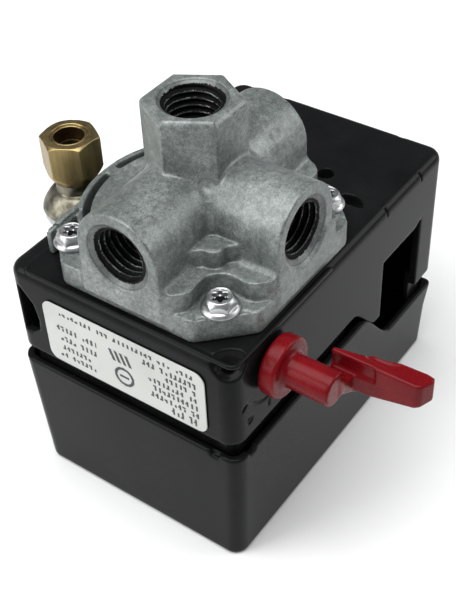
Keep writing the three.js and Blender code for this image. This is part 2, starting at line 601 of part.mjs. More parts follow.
// ---- contact carrier: a moulded rocker with two bridging contacts and the unloader trip arm
function contactCarrier() {
  const arms = [-13, 13].map((y) => box(21, 36.4, y - 4.4, y + 4.4, 46, 51.1));
  return cut(
    join(
      box(13, 23, -20, 20, 43.5, 49.4),
      ...arms,
      box(SNAP.carrierX, SNAP.carrierX + 3, -4, 4, SNAP.z - 3, 46),
      box(22, SNAP.carrierX + 3, -4, 4, 43.5, 47),
    ),
    rod('y', -REACH, REACH, CARRIER_PIN.x, CARRIER_PIN.z, CARRIER_PIN.radius + GAP),
  );
}
add('contact_carrier', contactCarrier(), PHENOLIC());
[-13, 13].forEach((y, i) => {
  const low = CONTACT.fixedZ - GAP - 0.9;
  add(`moving_contact_${i + 1}`, join(
    box(CONTACT.x - 3, CONTACT.x + 3, y - 9.6, y + 9.6, low - 1, low),
    ...[-6.5, 6.5].map((dy) => rod('z', low - 0.5, CONTACT.fixedZ - GAP, CONTACT.x, y + dy, CONTACT.radius)),
  ), COPPER());
});
add('trip_arm', cut(
  join(
    box(-24, 22, 20.3, 22.3, 44, 49.4),
    box(-22, -14.8, 20.3, VALVE.y + 4, VALVE.stemLow - GAP - 2, VALVE.stemLow - GAP),
  ),
  rod('y', 0, REACH, CARRIER_PIN.x, CARRIER_PIN.z, CARRIER_PIN.radius + GAP),
), STEEL());

// ---- snap spring between the main lever's tail and the carrier
const snapSpring = coil(2.6, 0.45, SNAP.carrierX - SNAP.leverX - 2 * GAP, 9, 8, 2);
snapSpring.rotateY(Math.PI / 2);
snapSpring.translate(SNAP.leverX + GAP, 0, SNAP.z);
add('snap_spring', snapSpring, STEEL());

// ---- terminal block with four terminals
function terminalBlock() {
  const { x0, x1, halfY, z0, z1 } = BLOCK;
  const barriers = BLOCK.barriers.map((y) => box(39, x1, y - 1, y + 1, BLOCK.barrierLow, z0 + 0.5));
  return cut(
    join(box(x0, x1, -halfY, halfY, z0, z1), ...barriers),
    ...TERMINAL_Y.map((y) => rod('z', z0 - 1, 62.6, CONTACT.screwX, y, 2.3)),
    ...[-1, 1].map((side) => (
      rod('z', z0 - 1, z1 + 1, BLOCK.screwX, side * BLOCK.screwY, BLOCK.screwShank + GAP))),
  );
}
add('terminal_block', terminalBlock(), PHENOLIC());
TERMINAL_Y.forEach((y, i) => {
  add(`terminal_${i + 1}`, cut(
    join(
      box(CONTACT.x - 4, 47, y - 4.5, y + 4.5, CONTACT.plateZ0, CONTACT.plateZ1),
      rod('z', CONTACT.fixedZ, CONTACT.plateZ0 + 0.5, CONTACT.x, y, CONTACT.radius),
    ),
    rod('z', 50, 60, CONTACT.screwX, y, 2.3),
  ), BRASS());
  const head = CONTACT.plateZ0 - GAP;
  add(`terminal_screw_${i + 1}`, cut(
    join(
      rod('z', head - 2.6, head, CONTACT.screwX, y, 3.4, 3.8),
      rod('z', head - 0.5, 62, CONTACT.screwX, y, 2),
    ),
    box(CONTACT.screwX - 5, CONTACT.screwX + 5, y - 0.5, y + 0.5, head - 3.6, head - 1.3),
  ), STEEL());
});
[-1, 1].forEach((side, i) => {
  const y = side * BLOCK.screwY;
  add(`block_screw_${i + 1}`, join(
    rod('z', BLOCK.z0 - GAP - 2, BLOCK.z0 - GAP, BLOCK.screwX, y, 2, 2.6),
    rod('z', BLOCK.z0 - 1, BLOCK.screwTop, BLOCK.screwX, y, BLOCK.screwShank),
  ), STEEL());
});

// ---- auto/off lever: disc, shaft and an offset paddle, with a clip inside the wall
const shoulder = LEVER_WALL + BASE.wall + 0.8; // where the lever's shaft steps down, inside the wall
function offLever() {
  const { x, z, disc, discRear, discFront, shaft, shaftEnd, inner, innerEnd } = OFF_LEVER;
  const { plan, top, low, webX, web, underside } = PADDLE;
  const paddle = cut(
    extrudeUp(new THREE.Shape(plan.map(([u, v]) => new THREE.Vector2(u, v))), low, top),
    prism('x', [...underside, [-REACH, low - 1], [underside[0][0], low - 1]], -REACH, 0),
  );
  return join(
    rod('y', discFront, discRear, x, z, disc, disc, ROUND),
    rod('y', shaftEnd, shoulder, x, z, shaft, shaft, ROUND),
    cut(
      rod('y', shoulder - 1, innerEnd, x, z, inner),
      box(x - 5, x + 5, innerEnd - 6, innerEnd + 1, z - 5, z - inner + 1),
    ),
    prism('y', [[x, z - 2.6], [webX, z - 9.6], [webX, z - 4.4], [x + 2, z + 1.6]], shaftEnd, shaftEnd + web),
    paddle,
  );
}
add('auto_off_lever', offLever(), RED());
const clipFace = shoulder + GAP;
add('lever_clip', cut(
  rod('y', clipFace, clipFace + 0.8, OFF_LEVER.x, OFF_LEVER.z, 5.2),
  rod('y', clipFace - 1, clipFace + 2, OFF_LEVER.x, OFF_LEVER.z, OFF_LEVER.inner + GAP),
  box(OFF_LEVER.x - 1.6, OFF_LEVER.x + 1.6, clipFace - 1, clipFace + 2, OFF_LEVER.z - 7, OFF_LEVER.z),
), STEEL());

// ---- unloader valve beside the base: body, nut, ferrule, stem, spring and lock nut
const { x: vx, y: vy } = VALVE;
add('unloader_body', cut(
  turned(vx, vy, [
    [0, VALVE.barrelLow], [VALVE.barrel, VALVE.barrelLow], [VALVE.barrel, VALVE.seat],
    [VALVE.flange, VALVE.seat], [VALVE.flange, VALVE.flangeTop], VALVE.dome,
    [VALVE.neck, VALVE.shoulder], [VALVE.neck, VALVE.nutLow], [VALVE.spigot, VALVE.nutLow],
    [VALVE.spigot, VALVE.spigotTop], [0, VALVE.spigotTop],
  ]),
  rod('z', VALVE.barrelLow - 1, VALVE.chamberTop, vx, vy, VALVE.chamber),
  rod('z', VALVE.chamberTop - 1, VALVE.spigotTop + 1, vx, vy, 1.8),
  rod('z', VALVE.spigotTop - 5, VALVE.spigotTop + 1, vx, vy, VALVE.tube - 0.9, VALVE.tube + 0.2),
), NICKEL());
add('compression_nut', cut(
  hexBar(vx, vy, VALVE.nutLow, VALVE.nutTop, VALVE.nutFlats, 7.1),
  rod('z', VALVE.nutLow - 1, VALVE.spigotTop + 0.8, vx, vy, VALVE.spigot + GAP, VALVE.spigot + GAP, 20),
  rod('z', VALVE.spigotTop + 0.7, VALVE.spigotTop + 3, vx, vy, VALVE.spigot + GAP, VALVE.tube, 20),
  rod('z', VALVE.spigotTop, VALVE.nutTop + 1, vx, vy, VALVE.tube, VALVE.tube, 20),
  rod('z', VALVE.nutTop - 0.5, VALVE.nutTop + 0.1, vx, vy, VALVE.tube, VALVE.tube + 0.6, 20),
), BRASS());
add('ferrule', turned(vx, vy, [
  [3.25, 84.3], [4.4, 84.3], [4.7, 85.1], [3.9, 86.5], [3.25, 86.5],
], 20), BRASS());
add('unloader_lock_nut', cut(
  hexBar(vx, vy, BRACKET.z0 - GAP - 3, BRACKET.z0 - GAP, VALVE.lockFlats),
  rod('z', 50, 80, vx, vy, VALVE.barrel + GAP),
), BRASS());
add('unloader_plug', cut(
  rod('z', VALVE.barrelLow, VALVE.barrelLow + VALVE.plug, vx, vy, VALVE.chamber - GAP),
  rod('z', VALVE.barrelLow - 1, VALVE.barrelLow + 4, vx, vy, VALVE.stem + GAP),
), BRASS());
const collarTop = VALVE.collarLow + VALVE.collarHeight;
add('unloader_stem', turned(vx, vy, [
  [0, VALVE.stemLow], [VALVE.stem, VALVE.stemLow], [VALVE.stem, VALVE.collarLow],
  [VALVE.collar, VALVE.collarLow], [VALVE.collar, collarTop], [VALVE.stem, collarTop],
  [VALVE.stem, VALVE.stemTop], [0, VALVE.stemTop],
], SMALL_ROUND), STEEL());
const unloaderSpring = coil(2.6, 0.4, VALVE.chamberTop - collarTop - 2 * GAP, 5, 8, 2);
unloaderSpring.translate(vx, vy, collarTop + GAP);
add('unloader_spring', unloaderSpring, STEEL());

pressureSwitch.position.set(-CENTRE.x, -CENTRE.y, -FOOT);

export default pressureSwitch;
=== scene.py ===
# Looks of the diaphragm pressure switch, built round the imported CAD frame. Metres, +Z up.
import json
import math

import bpy
import numpy as np
from mathutils import Matrix, Vector


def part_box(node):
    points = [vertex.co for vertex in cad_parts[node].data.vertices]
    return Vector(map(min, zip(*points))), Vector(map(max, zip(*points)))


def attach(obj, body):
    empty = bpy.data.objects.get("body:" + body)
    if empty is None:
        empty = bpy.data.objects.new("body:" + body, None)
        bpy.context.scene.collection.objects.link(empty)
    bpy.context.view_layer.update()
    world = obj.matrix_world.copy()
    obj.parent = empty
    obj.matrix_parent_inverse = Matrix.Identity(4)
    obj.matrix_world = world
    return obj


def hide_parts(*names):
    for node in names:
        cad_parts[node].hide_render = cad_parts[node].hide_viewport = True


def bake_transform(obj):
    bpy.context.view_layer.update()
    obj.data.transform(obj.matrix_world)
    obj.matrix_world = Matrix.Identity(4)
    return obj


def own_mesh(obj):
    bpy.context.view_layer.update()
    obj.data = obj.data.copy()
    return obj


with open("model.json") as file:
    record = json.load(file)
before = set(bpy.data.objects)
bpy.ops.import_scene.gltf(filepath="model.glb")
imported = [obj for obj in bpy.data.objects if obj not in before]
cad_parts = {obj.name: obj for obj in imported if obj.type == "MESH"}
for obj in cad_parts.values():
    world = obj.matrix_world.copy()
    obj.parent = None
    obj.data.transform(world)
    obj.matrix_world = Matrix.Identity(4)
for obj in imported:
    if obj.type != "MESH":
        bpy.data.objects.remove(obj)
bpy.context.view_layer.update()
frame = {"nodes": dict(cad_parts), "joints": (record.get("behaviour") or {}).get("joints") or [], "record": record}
MM = 0.001
COARSE = 1.0
FAR = 20.0  # distance that a field holds where nothing is built yet
JOINTS = {joint["name"]: joint for joint in frame["joints"]}


def span(node):
    """Lowest and highest corner of a CAD node in millimetres."""
    lo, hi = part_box(node)
    return np.array(lo) / MM, np.array(hi) / MM


def middle(node):
    lo, hi = span(node)
    return (lo + hi) / 2


# ---------------- distance fields
class Field:
    """Distances to a solid's surface on a grid, in millimetres, negative inside."""

    def __init__(self, lo, hi, pitch):
        self.h = pitch * COARSE
        self.lo = np.array(lo, float) - 2.5 * self.h
        count = np.ceil((np.array(hi, float) + 2.5 * self.h - self.lo) / self.h).astype(int) + 1
        self.axes = [(self.lo[i] + self.h * np.arange(count[i])).astype(np.float32) for i in range(3)]
        self.d = np.full(count, FAR, np.float32)

    def window(self, lo, hi, margin):
        """The part of the grid in the box lo-hi, with its coordinates."""
        part = []
        for i in range(3):
            a = (lo[i] - margin - self.lo[i]) / self.h
            b = (hi[i] + margin - self.lo[i]) / self.h
            n = len(self.axes[i])
            part.append(slice(max(0, min(n, int(a) - 2)), max(0, min(n, int(b) + 4))))
        x, y, z = (self.axes[i][part[i]] for i in range(3))
        return tuple(part), x[:, None, None], y[None, :, None], z[None, None, :]

    def join(self, shape, lo, hi, r=0.0):
        part, x, y, z = self.window(lo, hi, r)
        self.d[part] = union(self.d[part], shape(x, y, z), r)

    def cut(self, shape, lo, hi, r=0.0):
        part, x, y, z = self.window(lo, hi, r)
        self.d[part] = meet(self.d[part], -shape(x, y, z), r)

    def drill(self, axis, centre, radius, a, b, r=0.0, edge=0.0):
        """Cuts a round hole along an axis from a to b; r rounds its mouth, edge its bottom."""
        lo, hi = np.array(centre, float) - radius - 1, np.array(centre, float) + radius + 1
        lo[axis], hi[axis] = a, b
        self.cut(bar(axis, centre, radius, a, b, edge), lo, hi, r)

    def join_block(self, lo, hi, edge, r=0.0):
        self.join(block(lo, hi, edge), lo, hi, r)

    def cut_block(self, lo, hi, edge, r=0.0):
        self.cut(block(lo, hi, edge), lo, hi, r)


def union(a, b, r=0.0):
    """Both solids, with a concave fillet of radius r where they meet."""
    if r <= 0:
        return np.minimum(a, b)
    return np.maximum(r, np.minimum(a, b)) - np.sqrt(np.maximum(r - a, 0) ** 2 + np.maximum(r - b, 0) ** 2)


def meet(a, b, r=0.0):
    """What lies in both solids, with a convex edge of radius r."""
    if r <= 0:
        return np.maximum(a, b)
    return np.minimum(-r, np.maximum(a, b)) + np.sqrt(np.maximum(r + a, 0) ** 2 + np.maximum(r + b, 0) ** 2)


def between(t, t0, t1):
    """Distance to a slab from t0 to t1."""
    return np.abs(t - (t0 + t1) / 2) - (t1 - t0) / 2


def block(lo, hi, r=0.0):
    """A box with edges of radius r."""
    def shape(x, y, z):
        q = [between(t, lo[i], hi[i]) + r for i, t in enumerate((x, y, z))]
        out = np.sqrt(sum(np.maximum(t, 0) ** 2 for t in q))
        return out + np.minimum(np.maximum(np.maximum(q[0], q[1]), q[2]), 0) - r
    return shape


def around(axis, centre, x, y, z):
    """Radius about an axis through centre, and the position along it."""
    t = [x - centre[0], y - centre[1], z - centre[2]]
    along = (x, y, z)[axis]
    u, v = (t[i] for i in range(3) if i != axis)
    return np.hypot(u, v), along


def cone(axis, centre, ra, a, rb, b, r=0.0):
    """A round bar whose radius goes from ra at a to rb at b."""
    slope = (rb - ra) / (b - a)
    lean = 1 / math.sqrt(1 + slope * slope)

    def shape(x, y, z):
        rho, along = around(axis, centre, x, y, z)
        return meet((rho - (ra + slope * (along - a))) * lean, between(along, min(a, b), max(a, b)), r)
    return shape


def bar(axis, centre, radius, a, b, r=0.0):
    """A round bar along an axis from a to b."""
    return cone(axis, centre, radius, a, radius, b, r)


def hexagon(u, v, flats, r=0.0):
    """Distance to a hexagon with two corners on the u axis."""
    d = np.abs(v) - flats / 2
    for turn in (60, 120):
        c, s = math.cos(math.radians(turn)), math.sin(math.radians(turn))
        d = meet(d, np.abs(v * c - u * s) - flats / 2, r)
    return d


def rounded(x, y, hx, hy, r):
    """Distance to a rectangle with rounded corners."""
    qx, qy = np.abs(x) - hx + r, np.abs(y) - hy + r
    return np.sqrt(np.maximum(qx, 0) ** 2 + np.maximum(qy, 0) ** 2) + np.minimum(np.maximum(qx, qy), 0) - r


def ball(x, y, z, centre):
    """Distance from a point."""
    return np.sqrt((x - centre[0]) ** 2 + (y - centre[1]) ** 2 + (z - centre[2]) ** 2)


def tooth(u, v, along, pitch, turn=0.0):
    """A thread's wave about an axis: 1 at the middle of each turn, 0 at its ends."""
    phase = along / pitch + np.arctan2(v, u) / (2 * math.pi) + turn
    return np.abs(2 * (phase - np.floor(phase)) - 1)


def eased(x, x0, z0, x1, z1):
    """A height that goes from z0 at x0 to z1 at x1 in an S."""
    t = np.clip((x - x0) / (x1 - x0), 0, 1)
    return z0 + (z1 - z0) * t * t * (3 - 2 * t)


def polygon(u, v, points):
    """Distance to a closed outline of (u, v) points."""
    d, sign = None, None
    for i in range(len(points)):
        (ax, ay), (bx, by) = points[i], points[i - 1]
        ex, ey = bx - ax, by - ay
        wx, wy = u - ax, v - ay
        t = np.clip((wx * ex + wy * ey) / (ex * ex + ey * ey), 0, 1)
        q = (wx - ex * t) ** 2 + (wy - ey * t) ** 2
        c1, c2, c3 = v >= ay, v < by, ex * wy > ey * wx
        flip = np.where((c1 & c2 & c3) | (~c1 & ~c2 & ~c3), -1.0, 1.0).astype(np.float32)
        d = q if d is None else np.minimum(d, q)
        sign = flip if sign is None else sign * flip
    return sign * np.sqrt(d)


CORNERS = [(i, j, k) for i in (0, 1) for j in (0, 1) for k in (0, 1)]
LONGEST_STEP = 0.33  # of a cell


def surface(field):
    """Vertices and four-sided faces of the field's zero surface."""
    d = field.d
    inside = d < 0
    n = np.array(d.shape) - 1
    count = sum(inside[i:n[0] + i, j:n[1] + j, k:n[2] + k].astype(np.uint8) for i, j, k in CORNERS)
    active = (count > 0) & (count < 8)
    cell = np.argwhere(active)
    index = np.full(active.shape, -1, np.int64)
    index[active] = np.arange(len(cell))
    total = np.zeros((len(cell), 3))
    hits = np.zeros(len(cell))
    for a in CORNERS:
        for axis in range(3):
            if a[axis]:
                continue
            b = tuple(1 if t == axis else a[t] for t in range(3))
            da = d[tuple((cell + a).T)].astype(float)
            db = d[tuple((cell + b).T)].astype(float)
            crosses = (da < 0) != (db < 0)
            t = np.where(crosses, da / np.where(crosses, da - db, 1), 0)
            point = np.array(a, float) + t[:, None] * (np.array(b) - a)
            total[crosses] += point[crosses]
            hits[crosses] += 1
    where = cell + total / hits[:, None]
    faces = []
    for axis in range(3):
        u, v = [(1, 2), (2, 0), (0, 1)][axis]
        low = [slice(None)] * 3
        high = [slice(None)] * 3
        low[axis] = slice(0, -1)
        high[axis] = slice(1, None)
        change = inside[tuple(low)] != inside[tuple(high)]
        edge = np.argwhere(change)
        edge = edge[(edge[:, u] > 0) & (edge[:, v] > 0) & (edge[:, u] < n[u]) & (edge[:, v] < n[v])]
        step_u = np.eye(3, dtype=int)[u]
        step_v = np.eye(3, dtype=int)[v]
        corners = (step_u + step_v, step_v, 0 * step_u, step_u)
        quad = np.stack([index[tuple((edge - corner).T)] for corner in corners], 1)
        starts_in = inside[tuple(edge.T)]
        quad[~starts_in] = quad[~starts_in][:, ::-1]
        faces.append(quad)
    for _ in range(2):
        where = settle(d, where)
    return field.lo + where * field.h, np.concatenate(faces)


def settle(d, where):
    """Moves points a step onto the zero surface, at most a third of a cell."""
    base = np.clip(np.floor(where).astype(int), 0, np.array(d.shape) - 2)
    f = where - base
    c = {k: d[tuple((base + k).T)].astype(float) for k in CORNERS}
    w = [np.stack([1 - f[:, i], f[:, i]]) for i in range(3)]
    value = sum(c[k] * w[0][k[0]] * w[1][k[1]] * w[2][k[2]] for k in CORNERS)
    slope = np.stack([sum((2 * k[i] - 1) * c[k] * w[i - 1][k[i - 1]] * w[i - 2][k[i - 2]] for k in CORNERS)
                      for i in range(3)], 1)
    step = -value[:, None] * slope / np.maximum((slope ** 2).sum(1), 1e-6)[:, None]
    length = np.sqrt((step ** 2).sum(1))[:, None]
    return where + step * np.minimum(1, LONGEST_STEP / np.maximum(length, 1e-9))


# ---------------- objects
def make(name, points, faces, material, slot, body="switch_body", replaces=(), smooth=True):
    """A mesh object from points in millimetres, riding on a body."""
    mesh = bpy.data.meshes.new(name)
    mesh.from_pydata((np.asarray(points, float) * MM).tolist(), [], [list(map(int, f)) for f in faces])
    mesh.validate()
    mesh.update()
    mesh.polygons.foreach_set("use_smooth", [smooth] * len(mesh.polygons))
    mesh.materials.append(material)
    obj = bpy.data.objects.new(name, mesh)
    bpy.context.scene.collection.objects.link(obj)
    if body:
        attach(obj, body)
    if replaces:
        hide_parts(*replaces)
    return obj


def apply_modifiers(obj):
    graph = bpy.context.evaluated_depsgraph_get()
    mesh = bpy.data.meshes.new_from_object(obj.evaluated_get(graph))
    obj.modifiers.clear()
    obj.data = mesh


def from_field(name, field, material, keep, **extra):
    """A piece from a field's surface, thinned to a share (keep) of its faces."""
    points, faces = surface(field)
    obj = make(name, points, faces, material, **extra)
    thin = obj.modifiers.new("thin", "DECIMATE")
    thin.ratio = keep
    apply_modifiers(obj)
    obj.data.polygons.foreach_set("use_smooth", [True] * len(obj.data.polygons))
    return obj


def face_centres(obj):
    """Coordinates of the middle of each face, in millimetres."""
    centre = np.zeros(len(obj.data.polygons) * 3)
    obj.data.polygons.foreach_get("center", centre)
    return (centre.reshape(-1, 3) / MM).T


def second_material(obj, material, chosen):
    """Gives the chosen faces of a piece another material."""
    obj.data.materials.append(material)
    obj.data.polygons.foreach_set("material_index", chosen.astype(int).tolist())


# ---------------- manifold's measures and ports
AX, AY = middle("diaphragm")[:2]  # the manifold's upright axis
CAST_LO, CAST_HI = span("manifold")
CAST_LOW, CAST_TOP = CAST_LO[2], CAST_HI[2]
HALF = CAST_HI[0] - AX  # from the axis to the flange's sides
REACH = 0.9  # the label-end boss stands this far out from the flange
SEAT_Z = 80.3  # top of the flange, where the screws sit
DECK_Z = 85.5  # top of the raised deck inside it
PORT_Z = 91.0
BOSS = 11.9  # radius of the side bosses
INLET_FLATS = 22.2
PORTS = [  # axis, way in, face, a point on the centre line, mouth's radius, thread's start in turns
    (2, -1, CAST_TOP, (AX, AY, 0), 8.35, 0.0),
    (0, 1, AX - HALF - REACH, (0, AY, PORT_Z), 8.8, 0.3),
    (0, -1, AX + HALF, (0, AY, PORT_Z), 8.8, 0.0),
    (1, 1, AY - HALF, (AX, 0, PORT_Z), 8.8, 0.6)]
SCREWS = [middle(f"flange_screw_{i}")[:2] for i in (1, 2, 3, 4)]
SCREW_TURNS = [(-1.3, 38.4), (17, 12), (41, 50), (-12, 31)]  # degrees, of each head and its recess
SCREW_HOLE = 2.8


# ---------------- materials
def nodes_of(name):
    made = bpy.data.materials.new(name)
    made.use_nodes = True
    tree = made.node_tree
    return made, tree, tree.nodes["Principled BSDF"]


def noise(tree, scale, detail=3.0, rough=0.55, stretch=None, kind="ShaderNodeTexNoise"):
    """A noise that stays on the piece; scale is in cycles per metre, kind a noise or cell texture."""
    place = tree.nodes.new("ShaderNodeTexCoord")
    out = place.outputs["Object"]
    if stretch:
        mapping = tree.nodes.new("ShaderNodeMapping")
        mapping.inputs["Scale"].default_value = stretch
        tree.links.new(out, mapping.inputs["Vector"])
        out = mapping.outputs["Vector"]
    node = tree.nodes.new(kind)
    node.inputs["Scale"].default_value = scale
    if kind == "ShaderNodeTexNoise":
        node.inputs["Detail"].default_value = detail
        node.inputs["Roughness"].default_value = rough
    tree.links.new(out, node.inputs["Vector"])
    return node.outputs["Fac"] if kind == "ShaderNodeTexNoise" else node.outputs["Distance"]


def ramp(tree, fac, stops):
    """A colour ramp from (position, colour or value) stops."""
    node = tree.nodes.new("ShaderNodeValToRGB")
    band = node.color_ramp
    while len(band.elements) > 2:
        band.elements.remove(band.elements[-1])
    for i, (at, value) in enumerate(stops):
        item = band.elements[i] if i < 2 else band.elements.new(at)
        item.position = at
        value = value if isinstance(value, (tuple, list)) else (value,) * 3
        item.color = (*value, 1)
    tree.links.new(fac, node.inputs["Fac"])
    return node.outputs["Color"]


def mix(tree, kind, fac, a, b):
    node = tree.nodes.new("ShaderNodeMix")
    node.data_type = "RGBA"
    node.blend_type = kind
    for socket, value in ((node.inputs["Factor"], fac), (node.inputs[6], a), (node.inputs[7], b)):
        if isinstance(value, (int, float)):
            socket.default_value = value
        elif isinstance(value, tuple):
            socket.default_value = (*value, 1)
        else:
            tree.links.new(value, socket)
    return node.outputs[2]


def bump(tree, shader, height, strength, distance, after=None):
    node = tree.nodes.new("ShaderNodeBump")
    node.inputs["Strength"].default_value = strength
    node.inputs["Distance"].default_value = distance
    tree.links.new(height, node.inputs["Height"])
    if after is not None:
        tree.links.new(after, node.inputs["Normal"])
    tree.links.new(node.outputs["Normal"], shader.inputs["Normal"])
    return node.outputs["Normal"]


def finish(name, dark, light, rough, metal=0.0, patch=120, grain=1800, bumps=0.15, depth=0.05,
           stretch=None, specular=0.5):
    """A finish with patches of colour, grain in its gloss and a fine bump, depth in millimetres."""
    made, tree, shader = nodes_of(name)
    broad = noise(tree, patch, 4, 0.6, stretch)
    fine = noise(tree, grain, 3, 0.6, stretch)
    colour = ramp(tree, broad, [(0.32, dark), (0.68, light)])
    speck = ramp(tree, fine, [(0.3, 0.82), (0.7, 1.0)])
    tree.links.new(mix(tree, "MULTIPLY", 0.5, colour, speck), shader.inputs["Base Color"])
    gloss = ramp(tree, mix(tree, "MIX", 0.5, broad, fine), [(0.3, rough[0]), (0.7, rough[1])])
    tree.links.new(gloss, shader.inputs["Roughness"])
    shader.inputs["Metallic"].default_value = metal
    shader.inputs["Specular IOR Level"].default_value = specular
    bump(tree, shader, fine, bumps, depth * MM)
    return made


def math_node(tree, operation, *values):
    node = tree.nodes.new("ShaderNodeMath")
    node.operation = operation
    for socket, value in zip(node.inputs, values):
        if isinstance(value, (int, float)):
            socket.default_value = value
        else:
            tree.links.new(value, socket)
    return node.outputs[0]


def painted_shadow_rings(tree):
    """How far each point lies in the thin dark line of painted shadow round a port's mouth, 0 to 1."""
    line_width, depth = 0.28 * MM, 0.8 * MM
    place = tree.nodes.new("ShaderNodeTexCoord")
    split = tree.nodes.new("ShaderNodeSeparateXYZ")
    tree.links.new(place.outputs["Object"], split.inputs["Vector"])

    def do(operation, *values):
        return math_node(tree, operation, *values)
    line = 0.0
    for axis, _, face, centre, radius, _ in PORTS:
        u, v = (do("SUBTRACT", split.outputs[i], centre[i] * MM) for i in range(3) if i != axis)
        rho = do("SQRT", do("ADD", do("MULTIPLY", u, u), do("MULTIPLY", v, v)))
        off = do("ABSOLUTE", do("SUBTRACT", rho, radius * MM))
        ring = do("MAXIMUM", do("SUBTRACT", 1.0, do("DIVIDE", off, line_width)), 0.0)
        away = do("ABSOLUTE", do("SUBTRACT", split.outputs[axis], face * MM))
        line = do("MAXIMUM", line, do("MULTIPLY", ring, do("LESS_THAN", away, depth)))
    return line


def casting():
    """Die-cast zinc: smooth grey-green with fine speckle, soft flow marks, small pits and painted shadow lines
    round the port mouths.
    """
    made, tree, shader = nodes_of("zinc_casting")
    broad = noise(tree, 95, 5, 0.62)
    cloud = noise(tree, 700, 4, 0.7)
    fine = noise(tree, 2400, 3, 0.65)
    base = ramp(tree, broad, [(0.30, (0.112, 0.130, 0.123)), (0.50, (0.162, 0.181, 0.174)),
                              (0.70, (0.232, 0.254, 0.246))])
    clouds = ramp(tree, cloud, [(0.34, 0.58), (0.50, 1.0), (0.66, 1.42)])
    mottled = mix(tree, "MULTIPLY", 0.72, base, clouds)
    speckled = mix(tree, "MULTIPLY", 0.6, mottled, ramp(tree, fine, [(0.38, 0.55), (0.60, 1.30)]))
    pits = ramp(tree, noise(tree, 300, kind="ShaderNodeTexVoronoi"), [(0.055, 0.45), (0.10, 1.0)])
    pitted = mix(tree, "MULTIPLY", 0.45, speckled, pits)
    # painted shadow: near-black lines round each port's countersink step
    lines = math_node(tree, "MULTIPLY", painted_shadow_rings(tree), 0.8)
    tree.links.new(mix(tree, "MIX", lines, pitted, (0.02, 0.022, 0.022)), shader.inputs["Base Color"])
    skin = mix(tree, "MIX", 0.45, cloud, fine)
    tree.links.new(ramp(tree, skin, [(0.30, 0.30), (0.70, 0.50)]), shader.inputs["Roughness"])
    shader.inputs["Metallic"].default_value = 0.33
    rough = bump(tree, shader, skin, 0.40, 0.11 * MM)
    bump(tree, shader, pits, 0.25, 0.08 * MM, after=rough)
    return made


def label_film():
    """Off-white printed film."""
    made, tree, shader = nodes_of("label_film")
    tone = ramp(tree, noise(tree, 60, 3, 0.5), [(0.3, (0.49, 0.50, 0.475)), (0.7, (0.56, 0.57, 0.545))])
    tree.links.new(tone, shader.inputs["Base Color"])
    tree.links.new(ramp(tree, noise(tree, 900), [(0.3, 0.42), (0.7, 0.55)]), shader.inputs["Roughness"])
    bump(tree, shader, noise(tree, 1500, 2, 0.5), 0.05, 0.02 * MM)
    return made


ZINC = casting()
# painted shade for the bores and screw recesses, and a lighter lit copy of it for the thread crests
THREAD_SHADOW = finish("thread_shadow", (0.002, 0.002, 0.002), (0.006, 0.006, 0.006), (0.55, 0.7), metal=0.2,
                patch=300, grain=2600, bumps=0.1, specular=0.1)
PAINTED_LIT_CREST = finish("thread_crest_painted_light", (0.06, 0.063, 0.063), (0.17, 0.176, 0.176), (0.25, 0.4), metal=0.6,
               patch=300, grain=2600, bumps=0.1)
MOUTH = finish("machined_face", (0.085, 0.094, 0.091), (0.165, 0.178, 0.174), (0.32, 0.45), metal=0.35,
               patch=700, grain=3000, bumps=0.1)
BLACK = finish("black_plastic", (0.0050, 0.0052, 0.0055), (0.0098, 0.0100, 0.0104), (0.20, 0.30),
               patch=45, grain=2600, bumps=0.05, depth=0.02, specular=0.075)
RED = finish("red_plastic", (0.125, 0.0022, 0.0045), (0.172, 0.0040, 0.0072), (0.22, 0.32),
             patch=110, grain=2400, bumps=0.04, depth=0.02, specular=0.13)
BRASS = finish("brass", (0.19, 0.138, 0.056), (0.42, 0.325, 0.150), (0.24, 0.42), metal=1,
               patch=330, grain=3000, stretch=(1, 1, 0.14), bumps=0.16)
# painted shade: a darker brass for the inside of the nut's bore
BORE_SHADE = finish("brass_bore_painted_shade", (0.034, 0.016, 0.008), (0.080, 0.042, 0.020), (0.3, 0.5), metal=0.8,
              patch=300, grain=3000)
NICKEL = finish("nickel_plate", (0.070, 0.066, 0.045), (0.32, 0.30, 0.235), (0.30, 0.50), metal=1,
                patch=420, grain=2500, bumps=0.2)
STEEL = finish("zinc_plated_steel", (0.42, 0.43, 0.44), (0.60, 0.61, 0.62), (0.24, 0.42), metal=1,
               patch=170, grain=2200, bumps=0.1)
SCREW_ZINC = finish("screw_zinc", (0.36, 0.37, 0.375), (0.58, 0.59, 0.59), (0.30, 0.44), metal=1,
                    patch=400, grain=3000, bumps=0.05, depth=0.02)
SPRING = finish("spring_steel", (0.28, 0.28, 0.29), (0.42, 0.42, 0.43), (0.26, 0.4), metal=1,
                patch=300, grain=3000)
COPPER = finish("contact_copper", (0.50, 0.27, 0.16), (0.66, 0.38, 0.25), (0.25, 0.42), metal=1,
                patch=250)
PHENOLIC = finish("brown_phenolic", (0.055, 0.030, 0.020), (0.095, 0.052, 0.034), (0.42, 0.6),
                  patch=260, grain=2600)
RUBBER = finish("diaphragm_rubber", (0.014, 0.014, 0.014), (0.028, 0.028, 0.028), (0.6, 0.8),
                patch=200)
LABEL = label_film()
FINISHES = {"zinc_casting": ZINC, "black_plastic": BLACK, "red_plastic": RED, "brass": BRASS,
            "nickel_plate": NICKEL, "zinc_plated_steel": STEEL, "screw_zinc": SCREW_ZINC,
            "spring_steel": SPRING, "contact_copper": COPPER, "brown_phenolic": PHENOLIC,
            "diaphragm_rubber": RUBBER, "label_film": LABEL}

for part in frame["record"]["subparts"]:
    node = frame["nodes"][part["node"]]
    node.data.materials.clear()
    node.data.materials.append(FINISHES[part["material_slot"]])

